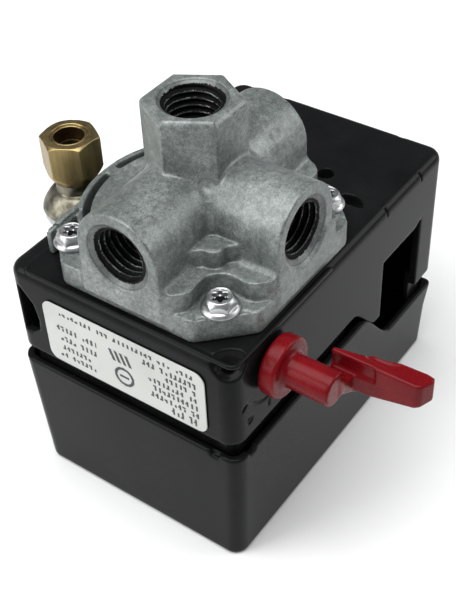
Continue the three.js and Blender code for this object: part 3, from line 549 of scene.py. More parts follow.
# ---------------- manifold
WHOLE = ([AX - HALF - REACH, AY - HALF, CAST_LOW], [AX + HALF, AY + HALF, CAST_TOP])
THREAD_PITCH = 1.85
THREAD_MAJOR, THREAD_DEEP, THREAD_TAPER = 7.6, 1.0, 0.035
PORT_DEPTH, STEP_DEPTH, FLARE_DEPTH = 14.0, 0.35, 1.2
PASSAGE = 4.5  # radius of the passages between the ports


def threaded(axis, way, face, centre, mouth, turn):
    """A pipe-thread bore from a face inwards, with its countersunk mouth."""
    def shape(x, y, z):
        rho, along = around(axis, centre, x, y, z)
        deep = (along - face) * way
        t = [x - centre[0], y - centre[1], z - centre[2]]
        u, v = (t[i] for i in range(3) if i != axis)
        wave = np.clip(1.2 * tooth(u, v, deep, THREAD_PITCH, turn), 0, 1)
        wall = (rho - (THREAD_MAJOR - THREAD_TAPER * deep - THREAD_DEEP * (1 - wave))) * 0.72
        flare = (rho - (mouth - 1.3 * np.maximum(deep - STEP_DEPTH, -1.0))) * 0.6
        step = np.maximum(rho - mouth, deep - STEP_DEPTH)
        bore = np.minimum(np.minimum(wall, np.maximum(flare, deep - FLARE_DEPTH)), step)
        return np.maximum(np.maximum(bore, deep - PORT_DEPTH), -deep - 1.5)
    return shape


def flange(f):
    """The square flange with its corners cut, and the raised deck with hollows for the screws."""
    def outline(x, y, cut):
        u, v = np.abs(x - AX), np.abs(y - AY)
        square = meet(u - HALF, v - HALF, 0.6)
        return meet(square, (u + v - cut) / math.sqrt(2), 1.0)

    def plate(x, y, z):
        return meet(outline(x, y, 50.8), between(z, CAST_LOW, SEAT_Z), 0.4)

    def deck(x, y, z):
        disc = np.hypot(x - AX, y - AY) - (HALF - 0.3)
        side = meet(outline(x, y, 45.2), np.where(y > AY, disc, -9), 1.0)
        for sx, sy in SCREWS:
            side = meet(side, 5.9 - np.hypot(x - sx, y - sy), 3.0)
        return meet(side, between(z, CAST_LOW + 1, DECK_Z), 0.42)

    f.join(plate, *WHOLE)
    f.join(deck, *WHOLE, r=0.8)


def side_boss(f, axis, way, reach):
    """A boss round a side port: round on top, upright below."""
    centre = (AX, AY)

    def boss(x, y, z):
        p = (x, y)
        across = p[1 - axis] - centre[1 - axis]
        profile = np.hypot(across, np.maximum(z - PORT_Z, 0)) - BOSS
        run = way * (p[axis] - centre[axis])
        return meet(meet(profile, between(run, 0, reach), 0.55), CAST_LOW + 3 - z, 0)
    f.join(boss, *WHOLE, r=1.9)


def ejector_scar(f):
    """A shallow round dish in the shoulder of the conduit-end boss."""
    radius, sunk, lean = 6.6, 0.4, math.radians(39.36)
    away = BOSS + radius - sunk
    centre = (1.1, AY - math.cos(lean) * away, PORT_Z + math.sin(lean) * away)
    f.cut(lambda x, y, z: ball(x, y, z, centre) - radius, [-3, -16, 94], [5, -8, 103], r=0.2)


def corner_web(f, sx, sy):
    """A web in the corner between two bosses, with an ejector pad on it and a rib over it."""
    top, rib_top = 90.4, 96.8

    def web(x, y, z):
        u, v = sx * (x - AX), sy * (y - AY)
        tri = meet((u + v - 32.6) / math.sqrt(2), np.maximum(6 - u, 6 - v), 0.3)
        pad = np.hypot(u - 15.2, v - 15.2) - 3.1
        body = meet(union(tri, pad, 0.6), between(z, DECK_Z - 3, top), 0.3)
        ring = np.abs(np.hypot(u - 15.0, v - 15.0) - 2.2) - 0.28
        line = np.maximum(meet(ring, between(z, top - 1.4, top + 0.35)), 0)
        return union(body, line, 0.12)  # only the fillet shows, a fine raised line

    def rib(x, y, z):
        u, v = sx * (x - AX), sy * (y - AY)
        across = np.abs(u - v) / math.sqrt(2) - 0.9
        out = between((u + v) / math.sqrt(2), 6, 14.6 - (z - 90) * 0.03)
        return np.maximum(meet(across, out, 0.3), between(z, 86, rib_top))

    x0, y0 = AX + min(0, sx * 26), AY + min(0, sy * 26)
    f.join(web, [x0, y0, DECK_Z - 3], [x0 + 26, y0 + 26, 91], r=0.45)
    f.join(rib, [x0, y0, 86], [x0 + 26, y0 + 26, rib_top], r=1.4)


def inlet_boss(f):
    """The hexagonal boss on a conical hub."""
    hub = cone(2, (AX, AY, 0), 23.0, DECK_Z - 3, 11.5, 96)
    f.join(hub, [AX - 24, AY - 24, DECK_Z - 3], [AX + 24, AY + 24, 96], r=3.0)
    for sx in (-1, 1):
        corner_web(f, sx, -1)

    def hexagonal(x, y, z):
        side = hexagon(x - AX, y - AY, INLET_FLATS, 0.35)
        chamfer = (side + 0.95 - (CAST_TOP - z) * 0.8) * 0.78
        return meet(meet(side, between(z, 90, CAST_TOP), 0.2), chamfer, 0.35)
    f.join(hexagonal, [AX - 13, AY - 13, 90], [AX + 13, AY + 13, CAST_TOP], r=1.1)


def valve_side_pockets(f):
    """Two curved and two three-cornered pockets behind the rim, and a rail on each corner."""
    def kidneys(x, y, z):
        u, v = x - AX, y - AY
        ring = between(np.hypot(u, v), 27.4, 29.3)
        angle = np.degrees(np.arctan2(v, u))
        arc = np.minimum(between(angle, 93, 128), between(angle, 52, 86)) * 0.48
        return meet(meet(ring, arc, 0.8), CAST_LOW - 1 - z, 0)
    f.cut(kidneys, [AX - 26, AY + 10, CAST_LOW - 2], [AX + 26, AY + HALF, DECK_Z + 2], r=0.4)
    for sx in (-1, 1):
        corners = [(AX + sx * 13.6, AY + 29.4), (AX + sx * 20.6, AY + 29.0), (AX + sx * 17.0, AY + 25.8)]

        def pocket(x, y, z):
            return np.maximum(polygon(x, y, corners) + 0.3, CAST_LOW - 1 - z)
        f.cut(pocket, [AX - 22, AY + 24, CAST_LOW - 2], [AX + 22, AY + 31, SEAT_Z + 3], r=0.4)

        def rail(x, y, z):
            run = sx * (x - AX)
            top = SEAT_Z + 1.2 - np.maximum(run - 18, 0) * 0.15
            plan = meet(between(y - AY, 29.3, 30.9), between(run, 9, 24), 0.3)
            return meet(plan, between(z, CAST_LOW, top), 0.4)
        f.join(rail, [AX - 25, AY + 29, CAST_LOW], [AX + 25, AY + 31.1, SEAT_Z + 5], r=0.5)


def screw_hole(f, sx, sy):
    """A flange hole with two round ejector marks beside it."""
    f.drill(2, (sx, sy, 0), SCREW_HOLE, CAST_LOW - 1, SEAT_Z + 2, r=0.3)
    kx, ky = np.sign(sx - AX), np.sign(sy - AY)
    for px, py in ((sx - kx * 0.6, sy + ky * 6.6), (sx + kx * 6.6, sy - ky * 0.6)):
        def mark(x, y, z):
            ring = np.abs(np.hypot(x - px, y - py) - 1.9) - 0.22
            return np.maximum(ring, SEAT_Z - 0.3 - z)
        f.cut(mark, [px - 3, py - 3, SEAT_Z - 1], [px + 3, py + 3, SEAT_Z + 0.6])


def manifold():
    f = Field(*WHOLE, 0.3)
    flange(f)
    side_boss(f, 0, -1, HALF + REACH)
    side_boss(f, 0, 1, HALF)
    side_boss(f, 1, -1, HALF)
    ejector_scar(f)
    inlet_boss(f)
    valve_side_pockets(f)
    for sx, sy in SCREWS:
        screw_hole(f, sx, sy)
    for axis, way, face, centre, mouth, turn in PORTS:
        lo, hi = np.array(centre, float) - 9, np.array(centre, float) + 9
        lo[axis], hi[axis] = sorted((face - way, face + way * (PORT_DEPTH + 1)))
        f.cut(threaded(axis, way, face, centre, mouth, turn), lo, hi)
    f.drill(2, (AX, AY, 0), PASSAGE, CAST_LOW + 3, CAST_TOP - 12)
    f.drill(0, (0, AY, PORT_Z), PASSAGE, AX - HALF + 12, AX + HALF - 12)
    f.drill(1, (AX, 0, PORT_Z), PASSAGE, AY - HALF + 12, AY)
    # the chamber over the diaphragm
    f.drill(2, (AX, AY, 0), 22, CAST_LOW - 2, CAST_LOW + 3.7, r=0.3, edge=0.5)
    below = f.axes[2] < CAST_LOW - 0.4
    f.d[:, :, below] = np.maximum(f.d[:, :, below], 0.5)
    obj = from_field("manifold_casting", f, ZINC, keep=0.5, slot="zinc_casting", replaces=("manifold",))
    paint_bore_shade(obj)


def paint_bore_shade(obj):
    """The countersunk mouths look machined; the bores get painted shade, near black, and the thread crests are
    painted lighter, as if lit.
    """
    for extra in (THREAD_SHADOW, PAINTED_LIT_CREST, MOUTH):
        obj.data.materials.append(extra)
    places = face_centres(obj)
    kind = np.zeros(len(obj.data.polygons), int)
    for axis, way, face, centre, mouth, _ in PORTS:
        rho = np.hypot(*(places[i] - centre[i] for i in range(3) if i != axis))
        deep = (places[axis] - face) * way
        crest = THREAD_MAJOR - THREAD_TAPER * deep - THREAD_DEEP
        kind[(rho < mouth - 0.05) & (deep > 0.25) & (deep < 1.5)] = 3
        # painted shade on the bore walls, with a painted lighter band on the crests
        inner = (rho < THREAD_MAJOR + 0.1) & (deep > 0.7) & (deep < 30)
        kind[inner] = 1
        kind[inner & (rho < crest + 0.27) & (rho > crest - 0.4) & (deep < PORT_DEPTH - 0.5)] = 2
    obj.data.polygons.foreach_set("material_index", kind.tolist())


# ---------------- flange screws
HEAD_HEIGHT = 3.7
HEAD_FLATS = 7.2
HEAD_FLANGE = 4.8  # radius
RECESS_RADIUS, RECESS_LOBE, RECESS_DEPTH = 1.83, 0.38, 1.5
SHANK_RADIUS, SHANK_THREAD, SHANK_PITCH = 2.15, 0.3, 0.9


def torx_screw(i):
    """Flanged hexagon screw with a six-lobed recess."""
    node = f"flange_screw_{i}"
    low = span(node)[0][2]
    cx, cy = SCREWS[i - 1]
    seat, top = SEAT_Z, SEAT_Z + HEAD_HEIGHT
    turn, lobe_turn = (math.radians(t) for t in SCREW_TURNS[i - 1])

    def head(x, y, z):
        u, v = x - cx, y - cy
        u, v = u * math.cos(turn) + v * math.sin(turn), v * math.cos(turn) - u * math.sin(turn)
        rho = np.hypot(u, v)
        cup = rho - HEAD_FLANGE + np.maximum(z - seat - 0.5, 0) * 0.75
        washer = meet(cup, between(z, seat, seat + 1.3), 0.3)
        crown = (rho - 3.0 - (top - z) * 0.75) * 0.8
        hexed = meet(meet(hexagon(u, v, HEAD_FLATS, 0.25), crown, 0.12), between(z, seat + 0.5, top), 0.18)
        star = RECESS_RADIUS + RECESS_LOBE * np.cos(6 * (np.arctan2(v, u) - lobe_turn))
        lobes = (rho - star - (z - top) * 0.22) * 0.8
        bottom = np.maximum(top - RECESS_DEPTH, top - RECESS_DEPTH - 0.45 + rho * 0.3)
        dish = meet(rho - 2.75, top - 0.18 - z, 0.05)
        return meet(meet(union(washer, hexed, 0.35), -meet(lobes, bottom - z, 0.1), 0.12), -dish, 0.08)

    def shank(x, y, z):
        u, v = x - cx, y - cy
        wave = SHANK_THREAD * tooth(u, v, z, SHANK_PITCH)
        return np.maximum((np.hypot(u, v) - SHANK_RADIUS - wave) * 0.7, between(z, low, seat + 0.3))

    f = Field([cx - 5, cy - 5, low], [cx + 5, cy + 5, top], 0.15)
    f.join(head, [cx - 5, cy - 5, seat], [cx + 5, cy + 5, top])
    f.join(shank, [cx - 3, cy - 3, low], [cx + 3, cy + 3, seat])
    obj = from_field(f"{node}_torx", f, SCREW_ZINC, keep=0.75, slot="screw_zinc", replaces=(node,))
    x, y, z = face_centres(obj)
    # painted shade: the bottom of the recess gets the near-black shade material
    deep = (np.hypot(x - cx, y - cy) < 1.5) & (z < top - RECESS_DEPTH + 0.25) & (z > seat)
    second_material(obj, THREAD_SHADOW, deep)


# ---------------- unloader valve
VALVE_X, VALVE_Y = middle("compression_nut")[:2]


def compression_nut():
    """Brass hexagon nut with the ferrule's end and the tube's bore inside it."""
    lo, hi = span("compression_nut")
    low, top = lo[2], hi[2]
    tip = top - 6.5  # the ferrule's lower end
    flats, bore_radius = 14.3, 4.1

    def nut(x, y, z):
        u, v = x - VALVE_X, y - VALVE_Y
        rho = np.hypot(u, v)
        crown = (rho - 6.95 - (top - z) * 1.75) * 0.5
        foot = (rho - 5.9 - (z - low) * 0.62) * 0.85
        body = meet(hexagon(u, v, flats, 0.1), between(z, low, top), 0.15)
        body = meet(meet(body, crown, 0.12), foot, 0.12)
        bore = np.minimum(np.maximum(rho - 5.8, z - tip), np.maximum(rho - bore_radius, tip - 1 - z))
        seat = np.maximum((rho - 5.05 + (top - z) * 0.25) * 0.95, top - 1.1 - z)
        sleeve = meet(meet(rho - 4.72, 4.12 - rho), between(z, top - 2.5, top - 0.25), 0.12)
        return union(meet(meet(body, -bore, 0.1), -seat, 0.15), sleeve)

    wide = 8.4
    f = Field([VALVE_X - wide, VALVE_Y - wide, low], [VALVE_X + wide, VALVE_Y + wide, top], 0.2)
    f.join(nut, [VALVE_X - wide, VALVE_Y - wide, low], [VALVE_X + wide, VALVE_Y + wide, top])
    obj = from_field("compression_nut_brass", f, BRASS, keep=0.6, slot="brass", replaces=("compression_nut",))
    x, y, z = face_centres(obj)
    # painted shade: the faces inside the bore get the darker brass
    second_material(obj, BORE_SHADE, (np.hypot(x - VALVE_X, y - VALVE_Y) < bore_radius + 0.2) & (z < top - 0.6))


def valve_body():
    """Nickel body: domed flange with a hexagon, neck, spigot and a threaded barrel below."""
    lo, hi = span("unloader_body")
    seat = span("mechanism_bracket")[1][2] + 0.3
    wide = hi[0] - VALVE_X

    def body(x, y, z):
        u, v = x - VALVE_X, y - VALVE_Y
        rho = np.hypot(u, v)
        dome = (rho - 5.0 - np.sqrt(np.maximum(75.4 - z, 0)) * 2.15) * 0.72
        disc = meet(meet(rho - wide, between(z, seat, 75.2), 0.4), dome, 0.5)
        wrench = meet(hexagon(u, v, 13.2, 0.3), between(z, seat + 1, 76.2), 0.4)
        neck = meet(rho - 5.2, between(z, seat, 78.7), 0.2)
        spigot = meet(rho - 5.45, between(z, 78.5, hi[2]), 0.3)
        barrel = np.maximum((rho - 5.5 - 0.4 * tooth(u, v, z, 1.1)) * 0.7, between(z, lo[2], seat + 0.2))
        solid = union(union(disc, meet(wrench, dome, 0.3), 0.3), neck, 0.9)
        solid = union(union(solid, spigot, 0.2), barrel)
        hole = np.minimum(np.maximum(rho - 4.0, z - (lo[2] + 10.6)), rho - 1.8)
        cone_seat = (rho - 3.6 - (z - hi[2] + 1) * 0.35) * 0.9
        return meet(meet(solid, -hole, 0.1), -np.maximum(cone_seat, hi[2] - 5 - z), 0.1)

    box = ([VALVE_X - wide, VALVE_Y - wide, lo[2]], [VALVE_X + wide, VALVE_Y + wide, hi[2]])
    f = Field(*box, 0.26)
    f.join(body, *box)
    from_field("unloader_body_nickel", f, NICKEL, keep=0.5, slot="nickel_plate", replaces=("unloader_body",))


# ---------------- auto/off lever
LEVER_X, LEVER_WALL, LEVER_Z = np.array(JOINTS["auto_off_turn"]["pos_m"]) / MM  # wall: the base's outside


def lever():
    """A shaft with a collar, and a flat blade that a web carries beside it."""
    lo, hi = span("auto_off_lever")
    lx, wall, lz, end = LEVER_X, LEVER_WALL, LEVER_Z, lo[1]
    whole = (lo - [0, 0, 0.6], hi)
    f = Field(*whole, 0.3)
    centre = (lx, 0, lz)
    f.join(bar(1, centre, 4.4, wall - 18.1, wall + 3.1, 0.55), *whole)
    f.join(bar(1, centre, 8.0, wall - 5.5, wall - 1.1, 0.7), *whole, r=1.3)
    f.join(bar(1, centre, 3.0, wall + 3, hi[1], 0.3), *whole)
    side = [(lx + 1.5, lz + 1.9), (lx + 12.5, lz - 5.6), (lx + 11.6, lz - 10.2), (lx + 1.5, lz - 3.4)]

    def web(x, y, z):
        return meet(polygon(x, z, side), between(y, wall - 18.1, wall - 12.4), 0.5)
    f.join(web, *whole, r=0.9)

    top, near = lz + 2.55, lx + 8.5
    plan = [(near, wall - 11.2), (near, wall - 34.1), (near + 0.9, wall - 35.3), (near + 4.0, end + 0.1),
            (near + 5.2, end + 0.5), (near + 5.6, wall - 34.2), (near + 5.3, wall - 27.0),
            (near + 4.7, wall - 20.4), (near + 2.7, wall - 18.0), (near + 1.6, wall - 11.2)]

    def blade(x, y, z):
        under = lz - 7.6 + np.maximum(wall - 21.9 - y, 0) * 0.235
        return meet(polygon(x, y, plan), between(z, under, top), 0.6)
    f.join(blade, *whole, r=0.9)

    def groove(x, y, z):
        across = meet(between(x, near - 3, near + 0.75), between(y, wall - 23.4, wall - 8), 0.2)
        return meet(across, between(z, top - 4.6, top - 1.3), 0.3)
    f.cut(groove, *whole, r=0.25)

    def scoop(x, y, z):
        along, across, up = (y - wall + 23.6) / 5.6, (x - near - 3.7) / 1.75, (z - top - 0.5) / 1.9
        return (np.sqrt(along ** 2 + across ** 2 + up ** 2) - 1) * 1.5
    f.cut(scoop, *whole, r=0.3)

    def step(x, y, z):
        across = meet(between(x, near - 1, near + 0.35), between(y, wall - 23.4, wall - 9), 0.1)
        return meet(across, top - 5 - z)
    f.cut(step, *whole, r=0.2)
    # the inner end is half a round, which the clip holds
    f.cut(block([lx - 5, wall + 17, lz - 6], [lx + 5, hi[1] + 2, lz - 2.0]), *whole, r=0.2)
    from_field("auto_off_lever_red", f, RED, keep=0.5, body="auto_off_lever", slot="red_plastic",
               replaces=("auto_off_lever",))


# ---------------- springs
def coil_mesh(lo, hi, axis, wire, turns, part):
    """Part (from, to) of a closed-end coil spring in the box lo-hi; wire is its wire's radius."""
    steps, sides = turns * 30, 12
    t = np.linspace(0, 1, steps + 1)
    pitch = np.clip(np.minimum(t, 1 - t) * turns, 0.35, 1.0)
    climb = np.concatenate([[0], np.cumsum((pitch[1:] + pitch[:-1]) / 2)])
    along = lo[axis] + wire + (hi[axis] - lo[axis] - 2 * wire) * climb / climb[-1]
    u, v = [i for i in range(3) if i != axis]
    centre = (lo + hi) / 2
    radius = (hi[v] - lo[v]) / 2 - wire
    inside = np.flatnonzero((along >= part[0] - 1e-6) & (along <= part[1] + 1e-6))
    first, last = max(0, inside[0] - 1), inside[-1]
    ring = np.arange(first, last + 1)
    turn = 2 * math.pi * turns * t[ring][:, None]
    round_wire = 2 * math.pi * np.arange(sides) / sides
    reach = radius + wire * np.cos(round_wire)[None, :]
    points = np.zeros((len(ring), sides, 3))
    points[:, :, u] = centre[u] + reach * np.cos(turn)
    points[:, :, v] = centre[v] + reach * np.sin(turn)
    height = along[ring][:, None] + wire * np.sin(round_wire)[None, :]
    points[:, :, axis] = np.clip(height, lo[axis], hi[axis])
    faces = []
    for i in range(len(ring) - 1):
        here, there = i * sides, (i + 1) * sides
        for j in range(sides):
            k = (j + 1) % sides
            faces.append((here + j, there + j, there + k, here + k))
    end = (len(ring) - 1) * sides
    faces += [tuple(range(sides)), tuple(end + j for j in reversed(range(sides)))]
    return points.reshape(-1, 3), faces


def bent_spring(node, axis, wire, turns, middle_at, low_body, high_body):
    """A spring in two pieces that meet at middle_at, neither attached to a body; low_body and high_body are not
    used.
    """
    lo, hi = span(node)
    places = []
    for at in (lo[axis] + wire, middle_at, hi[axis] - wire):
        place = (lo + hi) / 2
        place[axis] = at
        places.append(tuple(place * MM))
    halves = [("low", (lo[axis], middle_at), (low_body, "switch_body"), places[:2], (node,)),
              ("high", (middle_at, hi[axis]), ("switch_body", high_body), places[1:], ())]
    for tag, part, bodies, (start, end), replaced in halves:
        points, faces = coil_mesh(lo, hi, axis, wire, turns, part)
        obj = make(f"{node}_{tag}_end", points, faces, SPRING, slot="spring_steel", body=None,
                   replaces=replaced)
        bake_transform(obj)


def springs():
    """The range and snap springs are each built in two pieces; the unloader's is one coil on the switch body."""
    top = span("range_spring")[1][2]
    bent_spring("range_spring", 2, 1.1, 8, top - 12.5, "range_adjuster", "main_lever")
    bent_spring("snap_spring", 0, 0.45, 9, middle("snap_spring")[0], "main_lever", "contact_carrier")
    lo, hi = span("unloader_spring")
    points, faces = coil_mesh(lo, hi, 2, 0.4, 5, (lo[2], hi[2]))
    obj = make("unloader_spring_wire", points, faces, SPRING, slot="spring_steel",
               replaces=("unloader_spring",))
    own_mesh(obj)


# ---------------- base housing
BASE_BOX = span("base_housing")
BX, BY, BASE_TOP = BASE_BOX[1]
WALL, TOP_WALL = 2.5, 4.0
CONDUIT_X = (19.3, 40.5)
CONDUIT_TOP = 54.2
ABOVE = 80  # past the base's top, where a cut may end


def base_shell(f):
    """Walls and top, and the skirt that goes down inside the cover."""
    def shell(x, y, z):
        outer = meet(rounded(x, y, BX, BY, 4.5), z - BASE_TOP, 3.0)
        inner = meet(rounded(x, y, BX - WALL, BY - WALL, 2.2), z - (BASE_TOP - TOP_WALL), 0.8)
        low = np.where(x > CONDUIT_X[1], 30.3, eased(x, 3.0, 45.7, 17.0, 34.5))
        return meet(meet(outer, -inner, 0.3), (low - z) * 0.8, 0.4)
    f.join(shell, *BASE_BOX)

    def skirt(x, y, z):
        ring = meet(rounded(x, y, BX - 2.2, BY - 2.2, 2.6), -rounded(x, y, BX - 3.9, BY - 3.9, 1.2), 0.2)
        label_end = np.maximum(between(z, 35.3, 50), x - 3)
        conduit_end = np.maximum(between(z, 21.8, 34), CONDUIT_X[1] - x)
        return meet(ring, np.minimum(label_end, conduit_end), 0.3)
    f.join(skirt, *BASE_BOX)


def conduit_opening(f, side):
    """An opening in a side wall, with a small peak at its outer corner."""
    x0, x1 = CONDUIT_X
    peak = CONDUIT_TOP + 1.3
    outline = [(x0, 20), (x0, CONDUIT_TOP), (x1 - 3.2, CONDUIT_TOP), (x1 - 0.6, peak), (x1, peak), (x1, 20)]
    y0, y1 = sorted((side * BY, side * 30))
    f.cut(lambda x, y, z: polygon(x, z, outline), [x0, y0, 20], [x1, y1, CONDUIT_TOP + 2], r=0.4)


def base_openings(f):
    """Where the manifold, its screws, the lever and the valve go in."""
    f.drill(2, (AX, AY, 0), 15.8, 60, ABOVE, r=0.3)
    f.drill(2, (AX, AY, 0), 26.3, BASE_TOP - 1.6, ABOVE, r=0.2)
    for sx, sy in SCREWS:
        f.drill(2, (sx, sy, 0), SCREW_HOLE, 60, ABOVE)
    f.drill(1, (LEVER_X, 0, LEVER_Z), 4.7, -BY - 1, -BY + 4, r=0.3)
    f.cut_block([VALVE_X - 10.4, VALVE_Y - 10.5, 48.5], [VALVE_X + 10.4, BY + 3, ABOVE], 0.6, r=0.4)


def base_details(f):
    """Hollow and cut-out at the label's corners, and what is moulded in the top."""
    def hollow(x, y, z):
        u, v, w = (x + BX - 1.4) / 5.2, (y + BY - 1.4) / 5.2, (z - BASE_TOP + 0.6) / 4.6
        return (np.sqrt(u ** 2 + v ** 2 + w ** 2) - 1) * 4.6
    f.cut(hollow, [-BX - 1, -BY - 1, BASE_TOP - 6], [-BX + 7, -BY + 7, BASE_TOP + 1], r=0.5)
    side = [(31.4, 67.0), (27.6, 62.5), (26.6, 57.8), (27.0, 54.0), (30.0, 51.8), (32.6, 51.8), (32.6, 67.0)]
    f.cut(lambda x, y, z: polygon(y, z, side), [-BX - 1, 26, 51], [-BX + 3.4, 33, 68], r=0.4)
    f.drill(2, (23.8, -13.2, 0), 2.3, 60, ABOVE, r=0.4)

    def lens(x, y, z):
        u, v = x - 17.1, y + 25.8
        c, s = math.cos(math.radians(18)), math.sin(math.radians(18))
        along, across = v * c + u * s, u * c - v * s
        return np.sqrt((np.abs(across) + 3.2) ** 2 + along ** 2) - 5.1
    f.cut(lens, [12, -31, 60], [22, -20, ABOVE], r=0.4)

    def kerb(x, y, z):
        edge = np.abs(rounded(x - AX, y - AY, HALF + 1.1, HALF + 1.1, 2.0)) - 0.55
        return meet(meet(edge, between(z, BASE_TOP - 1, BASE_TOP + 0.55), 0.3), x - AX - 10)
    f.join(kerb, [AX - HALF - 3, AY - HALF - 3, BASE_TOP - 1], [AX + 12, AY + HALF + 3, BASE_TOP + 0.1],
           r=0.3)
    above = f.axes[2] > BASE_TOP
    f.d[:, :, above] = np.maximum(f.d[:, :, above], f.axes[2][above] - BASE_TOP)
    # moulding witness lines across the rounded edges
    for x in (19.5, 38.5):
        f.cut_block([x - 0.22, -BY - 1, BASE_TOP - 3.2], [x + 0.22, -BY + 1.4, BASE_TOP + 1], 0.1)
    for y in (17.6, -22.0):
        f.cut_block([BX - 1.6, y - 0.8, BASE_TOP - 3.0], [BX + 1, y + 0.8, BASE_TOP + 1], 0.3, r=0.4)


def turning_mark(f):
    """A plain arc with a tick at each end and a small ring, sunk in the wall by the lever."""
    ends = (-150, -95)

    def mark(x, y, z):
        u, w = x - LEVER_X, z - LEVER_Z
        rho = np.hypot(u, w)
        angle = np.degrees(np.arctan2(w, u))
        lines = np.maximum(np.abs(rho - 11.2) - 0.35, between(angle, *ends) * 0.19)
        for end in ends:
            tick = np.maximum(np.abs(rho - 13.4) - 1.2, np.abs(angle - end) * 0.2 - 0.35)
            lines = np.minimum(lines, tick)
        ring = np.abs(np.hypot(u + 9.5, w + 12.6) - 0.8) - 0.3
        return np.maximum(np.minimum(lines, ring), between(y, -BY - 0.01, -BY + 0.5))
    f.cut(mark, [LEVER_X - 16, -BY - 1, LEVER_Z - 16], [LEVER_X + 5, -BY + 0.6, LEVER_Z - 5])


def base():
    f = Field(*BASE_BOX, 0.42)
    base_shell(f)
    for side in (-1, 1):
        conduit_opening(f, side)
    base_openings(f)
    base_details(f)
    turning_mark(f)
    from_field("base_moulding", f, BLACK, keep=0.35, slot="black_plastic", replaces=("base_housing",))


# ---------------- cover
COVER_LO, COVER_HI = span("cover")
COVER_FOOT = (BX - 0.7, BY - 1.0)  # half sizes at the flat face; the walls lean out to the rim
RIM = COVER_HI[2]  # top edge of the cover round its label end
RIM_LOW = 24.1  # and round its conduit end


def cover():
    """A tapered box with a recess for its nut, ribs inside and two notches by its front corner."""
    def tapered(x, y, z, inset, r):
        t = np.clip(z / RIM, 0, 1)
        hx, hy = (COVER_FOOT[i] + (COVER_HI[i] - COVER_FOOT[i]) * t - inset for i in (0, 1))
        return rounded(x, y, hx, hy, r)

    def shell(x, y, z):
        corner = 4.0 - np.where(x > 0, 2.2, 0.0) * np.clip((z - 16) / 7, 0, 1)
        outer = meet(tapered(x, y, z, 0, corner), -z, 1.2)
        inner = meet(tapered(x, y, z, 2.0, 2.2), 2.4 - z, 1.0)
        rim = eased(x, 6.8, RIM, 27.2, RIM_LOW)
        return meet(meet(outer, -inner, 0.35), (z - rim) * 0.8, 0.45)

    f = Field(COVER_LO, COVER_HI, 0.48)
    f.join(shell, COVER_LO, COVER_HI)
    cx, cy = middle("range_stud")[:2]
    f.join(bar(2, (cx, cy, 0), 10, 0.5, 12.3, 0.8), [cx - 11, cy - 11, 0], [cx + 11, cy + 11, 13], r=1.0)
    f.drill(2, (cx, cy, 0), 7.6, -2, 9.9, r=0.6, edge=0.3)
    f.drill(2, (cx, cy, 0), 3.3, 2, 14, r=0.2)
    for x in (-30, -6, 12):
        for side in (-1, 1):
            y0, y1 = sorted((side * (BY - 3.2), side * (BY - 5.4)))
            f.join_block([x - 0.8, y0, 1], [x + 0.8, y1, 30], 0.3, r=0.5)
    for x, y in ((-BX + 6.2, -BY - 0.2), (-BX - 0.4, -BY + 6.6)):
        f.cut_block([x - 1.4, y - 1.4, RIM - 1.3], [x + 1.4, y + 1.4, RIM + 1], 0.3, r=0.3)
    from_field("cover_moulding", f, BLACK, keep=0.35, slot="black_plastic", replaces=("cover",))


# ---------------- rating label
INK = finish("label_ink", (0.020, 0.021, 0.024), (0.045, 0.046, 0.05), (0.45, 0.6), patch=900, grain=3000)
CELL = 0.2  # side of one square of the film's mesh, the finest stroke of its print
PRINT_ROWS = [  # height above the film's lower edge, height of the row, start, end
    (1.2, 2.4, 3.0, 11.0), (4.2, 1.8, 2.2, 17.0), (6.8, 1.8, 2.4, 15.5), (9.4, 1.6, 2.6, 16.5),
    (11.8, 1.6, 2.8, 12.0), (14.2, 1.8, 2.6, 20.0), (17.0, 1.4, 3.4, 45.0), (2.2, 1.6, 35.0, 46.5),
    (5.0, 1.6, 36.5, 45.5), (8.2, 1.8, 34.0, 46.5), (11.6, 1.8, 33.5, 46.0)]


def printed(ny, nz):
    """Which squares of the film are inked: rows of plain strokes that say nothing, and two marks."""
    rng = np.random.default_rng(7)
    ink = np.zeros((ny, nz), bool)

    def stroke(y0, y1, z0, z1):
        ink[round(y0 / CELL):round(y1 / CELL), round(z0 / CELL):round(z1 / CELL)] = True

    for low, tall, at, end in PRINT_ROWS:
        while at < end:
            stroke(at, at + 0.6, low, low + tall * (1 if rng.random() > 0.3 else 0.6))
            if rng.random() > 0.35:
                crossbar = low + (tall - 0.6) * rng.integers(0, 3) / 2
                stroke(at, at + 1.0, crossbar, crossbar + 0.6)
            at += 1.4 if rng.random() > 0.13 else 2.6
    # two plain marks in the middle: a ring round a bar, and a row of leaning bars
    y, z = (np.arange(ny)[:, None] + 0.5) * CELL, (np.arange(nz)[None, :] + 0.5) * CELL
    rho, lean = np.hypot(y - 25.3, z - 6.0), y - 0.35 * z
    ink |= (np.abs(rho - 2.7) < 0.45) | ((rho < 1.6) & (np.abs(z - 6.0) < 0.5))
    ink |= (lean % 1.7 < 1.0) & (z > 10.4) & (z < 14.0) & (lean > 18.7) & (lean < 25.5)
    return ink


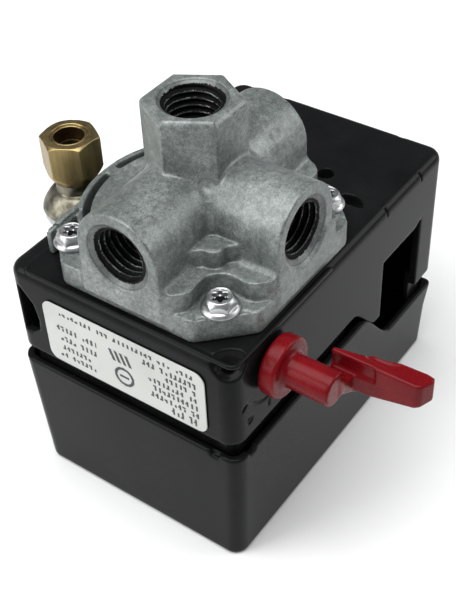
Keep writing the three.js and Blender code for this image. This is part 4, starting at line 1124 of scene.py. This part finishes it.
def label():
    """A film with rounded corners, whose outer face stands at the box's -X side."""
    lo, hi = span("rating_label")
    ny, nz = (int(round((hi[i] - lo[i]) / CELL)) for i in (1, 2))
    ys, zs = np.linspace(lo[1], hi[1], ny + 1), np.linspace(lo[2], hi[2], nz + 1)
    (cy, cz), (hy, hz) = (lo + hi)[1:] / 2, (hi - lo)[1:] / 2
    ink = printed(ny, nz)
    corner, bevel = 3.0, 0.06
    points, faces, kinds, index = [], [], [], {}

    def clamp(y, z):
        u, v = y - cy, z - cz
        qx, qy = abs(u) - (hy - corner), abs(v) - (hz - corner)
        if qx > 0 and qy > 0 and math.hypot(qx, qy) > corner:
            k = corner / math.hypot(qx, qy)
            u, v = math.copysign(hy - corner + qx * k, u), math.copysign(hz - corner + qy * k, v)
        return cy + u, cz + v

    def vertex(i, j, layer):
        key = (i, j, layer)
        if key not in index:
            index[key] = len(points)
            on_edge = min(i, ny - i, j, nz - j) == 0
            x = hi[0] if layer else lo[0] + (bevel if on_edge else 0)
            points.append((x, *clamp(ys[i], zs[j])))
        return index[key]

    def face(kind, *corners):
        faces.append([vertex(*c) for c in corners])
        kinds.append(kind)

    for i in range(ny):
        for j in range(nz):
            face(int(ink[i, j]), (i, j, 0), (i, j + 1, 0), (i + 1, j + 1, 0), (i + 1, j, 0))
            face(0, (i, j, 1), (i + 1, j, 1), (i + 1, j + 1, 1), (i, j + 1, 1))
    for i in range(ny):
        face(0, (i, 0, 0), (i + 1, 0, 0), (i + 1, 0, 1), (i, 0, 1))
        face(0, (i, nz, 0), (i, nz, 1), (i + 1, nz, 1), (i + 1, nz, 0))
    for j in range(nz):
        face(0, (0, j, 0), (0, j, 1), (0, j + 1, 1), (0, j + 1, 0))
        face(0, (ny, j, 0), (ny, j + 1, 0), (ny, j + 1, 1), (ny, j, 1))
    obj = make("rating_label_film", points, faces, LABEL, slot="label_film", replaces=("rating_label",),
               smooth=False)
    obj.data.materials.append(INK)
    obj.data.polygons.foreach_set("material_index", kinds)


manifold()
for number in (1, 2, 3, 4):
    torx_screw(number)
compression_nut()
valve_body()
lever()
springs()
base()
cover()
label()

# ---------------- floor, light and camera
def stage_floor():
    half, low = 4, -0.2 * MM
    corners = [(-half, -half, low), (half, -half, low), (half, half, low), (-half, half, low)]
    mesh = bpy.data.meshes.new("floor")
    mesh.from_pydata(corners, [], [(0, 1, 2, 3)])
    obj = bpy.data.objects.new("floor", mesh)
    bpy.context.scene.collection.objects.link(obj)
    made, tree, shader = nodes_of("floor_paint")
    white = ramp(tree, noise(tree, 3, 2, 0.5), [(0.3, 0.88), (0.7, 0.90)])
    tree.links.new(white, shader.inputs["Base Color"])
    shader.inputs["Roughness"].default_value = 0.8
    mesh.materials.append(made)


def soft_light(name, place, target, size, power):
    data = bpy.data.lights.new(name, "AREA")
    data.shape = "RECTANGLE"
    data.size, data.size_y = size
    data.energy = power
    obj = bpy.data.objects.new(name, data)
    bpy.context.scene.collection.objects.link(obj)
    obj.location = place
    obj.rotation_mode = "QUATERNION"
    obj.rotation_quaternion = (Vector(target) - Vector(place)).to_track_quat("-Z", "Y")


def studio():
    world = bpy.data.worlds.new("studio")
    world.use_nodes = True
    sky = world.node_tree.nodes["Background"]
    sky.inputs["Color"].default_value = (0.95, 0.97, 1.0, 1)
    sky.inputs["Strength"].default_value = 0.24
    bpy.context.scene.world = world
    soft_light("overhead", (-0.15, 0.05, 0.85), (0, 0, 0.05), (0.7, 0.7), 8.0)
    soft_light("label_side", (-0.60, 0.42, 0.42), (0, 0, 0.06), (0.45, 0.5), 3.5)
    soft_light("lever_side", (0.50, -0.55, 0.42), (0, 0, 0.06), (0.5, 0.45), 2.6)
    bpy.context.scene.view_settings.view_transform = "Standard"


# The camera looks down on the lever and label sides, a little off level.
VIEW_ANGLES = (-52.93, 42.16, -2.87)  # azimuth, elevation and roll in degrees
VIEW_PLACE = (-0.1940, -0.1421, 0.2545)
LENS = 66.5


def camera():
    a, e, r = (math.radians(angle) for angle in VIEW_ANGLES)
    back = Vector((math.sin(a) * math.cos(e), -math.cos(a) * math.cos(e), math.sin(e)))
    right = (-back).cross(Vector((0, 0, 1))).normalized()
    up = right.cross(-back)
    level, turned_up = math.cos(r) * right + math.sin(r) * up, -math.sin(r) * right + math.cos(r) * up
    data = bpy.data.cameras.new("camera")
    data.lens = LENS
    data.clip_start, data.clip_end = 0.01, 10
    obj = bpy.data.objects.new("camera", data)
    rows = [(level[i], turned_up[i], back[i], VIEW_PLACE[i]) for i in range(3)]
    obj.matrix_world = Matrix((*rows, (0, 0, 0, 1)))
    bpy.context.scene.collection.objects.link(obj)
    bpy.context.scene.camera = obj


stage_floor()
studio()
camera()
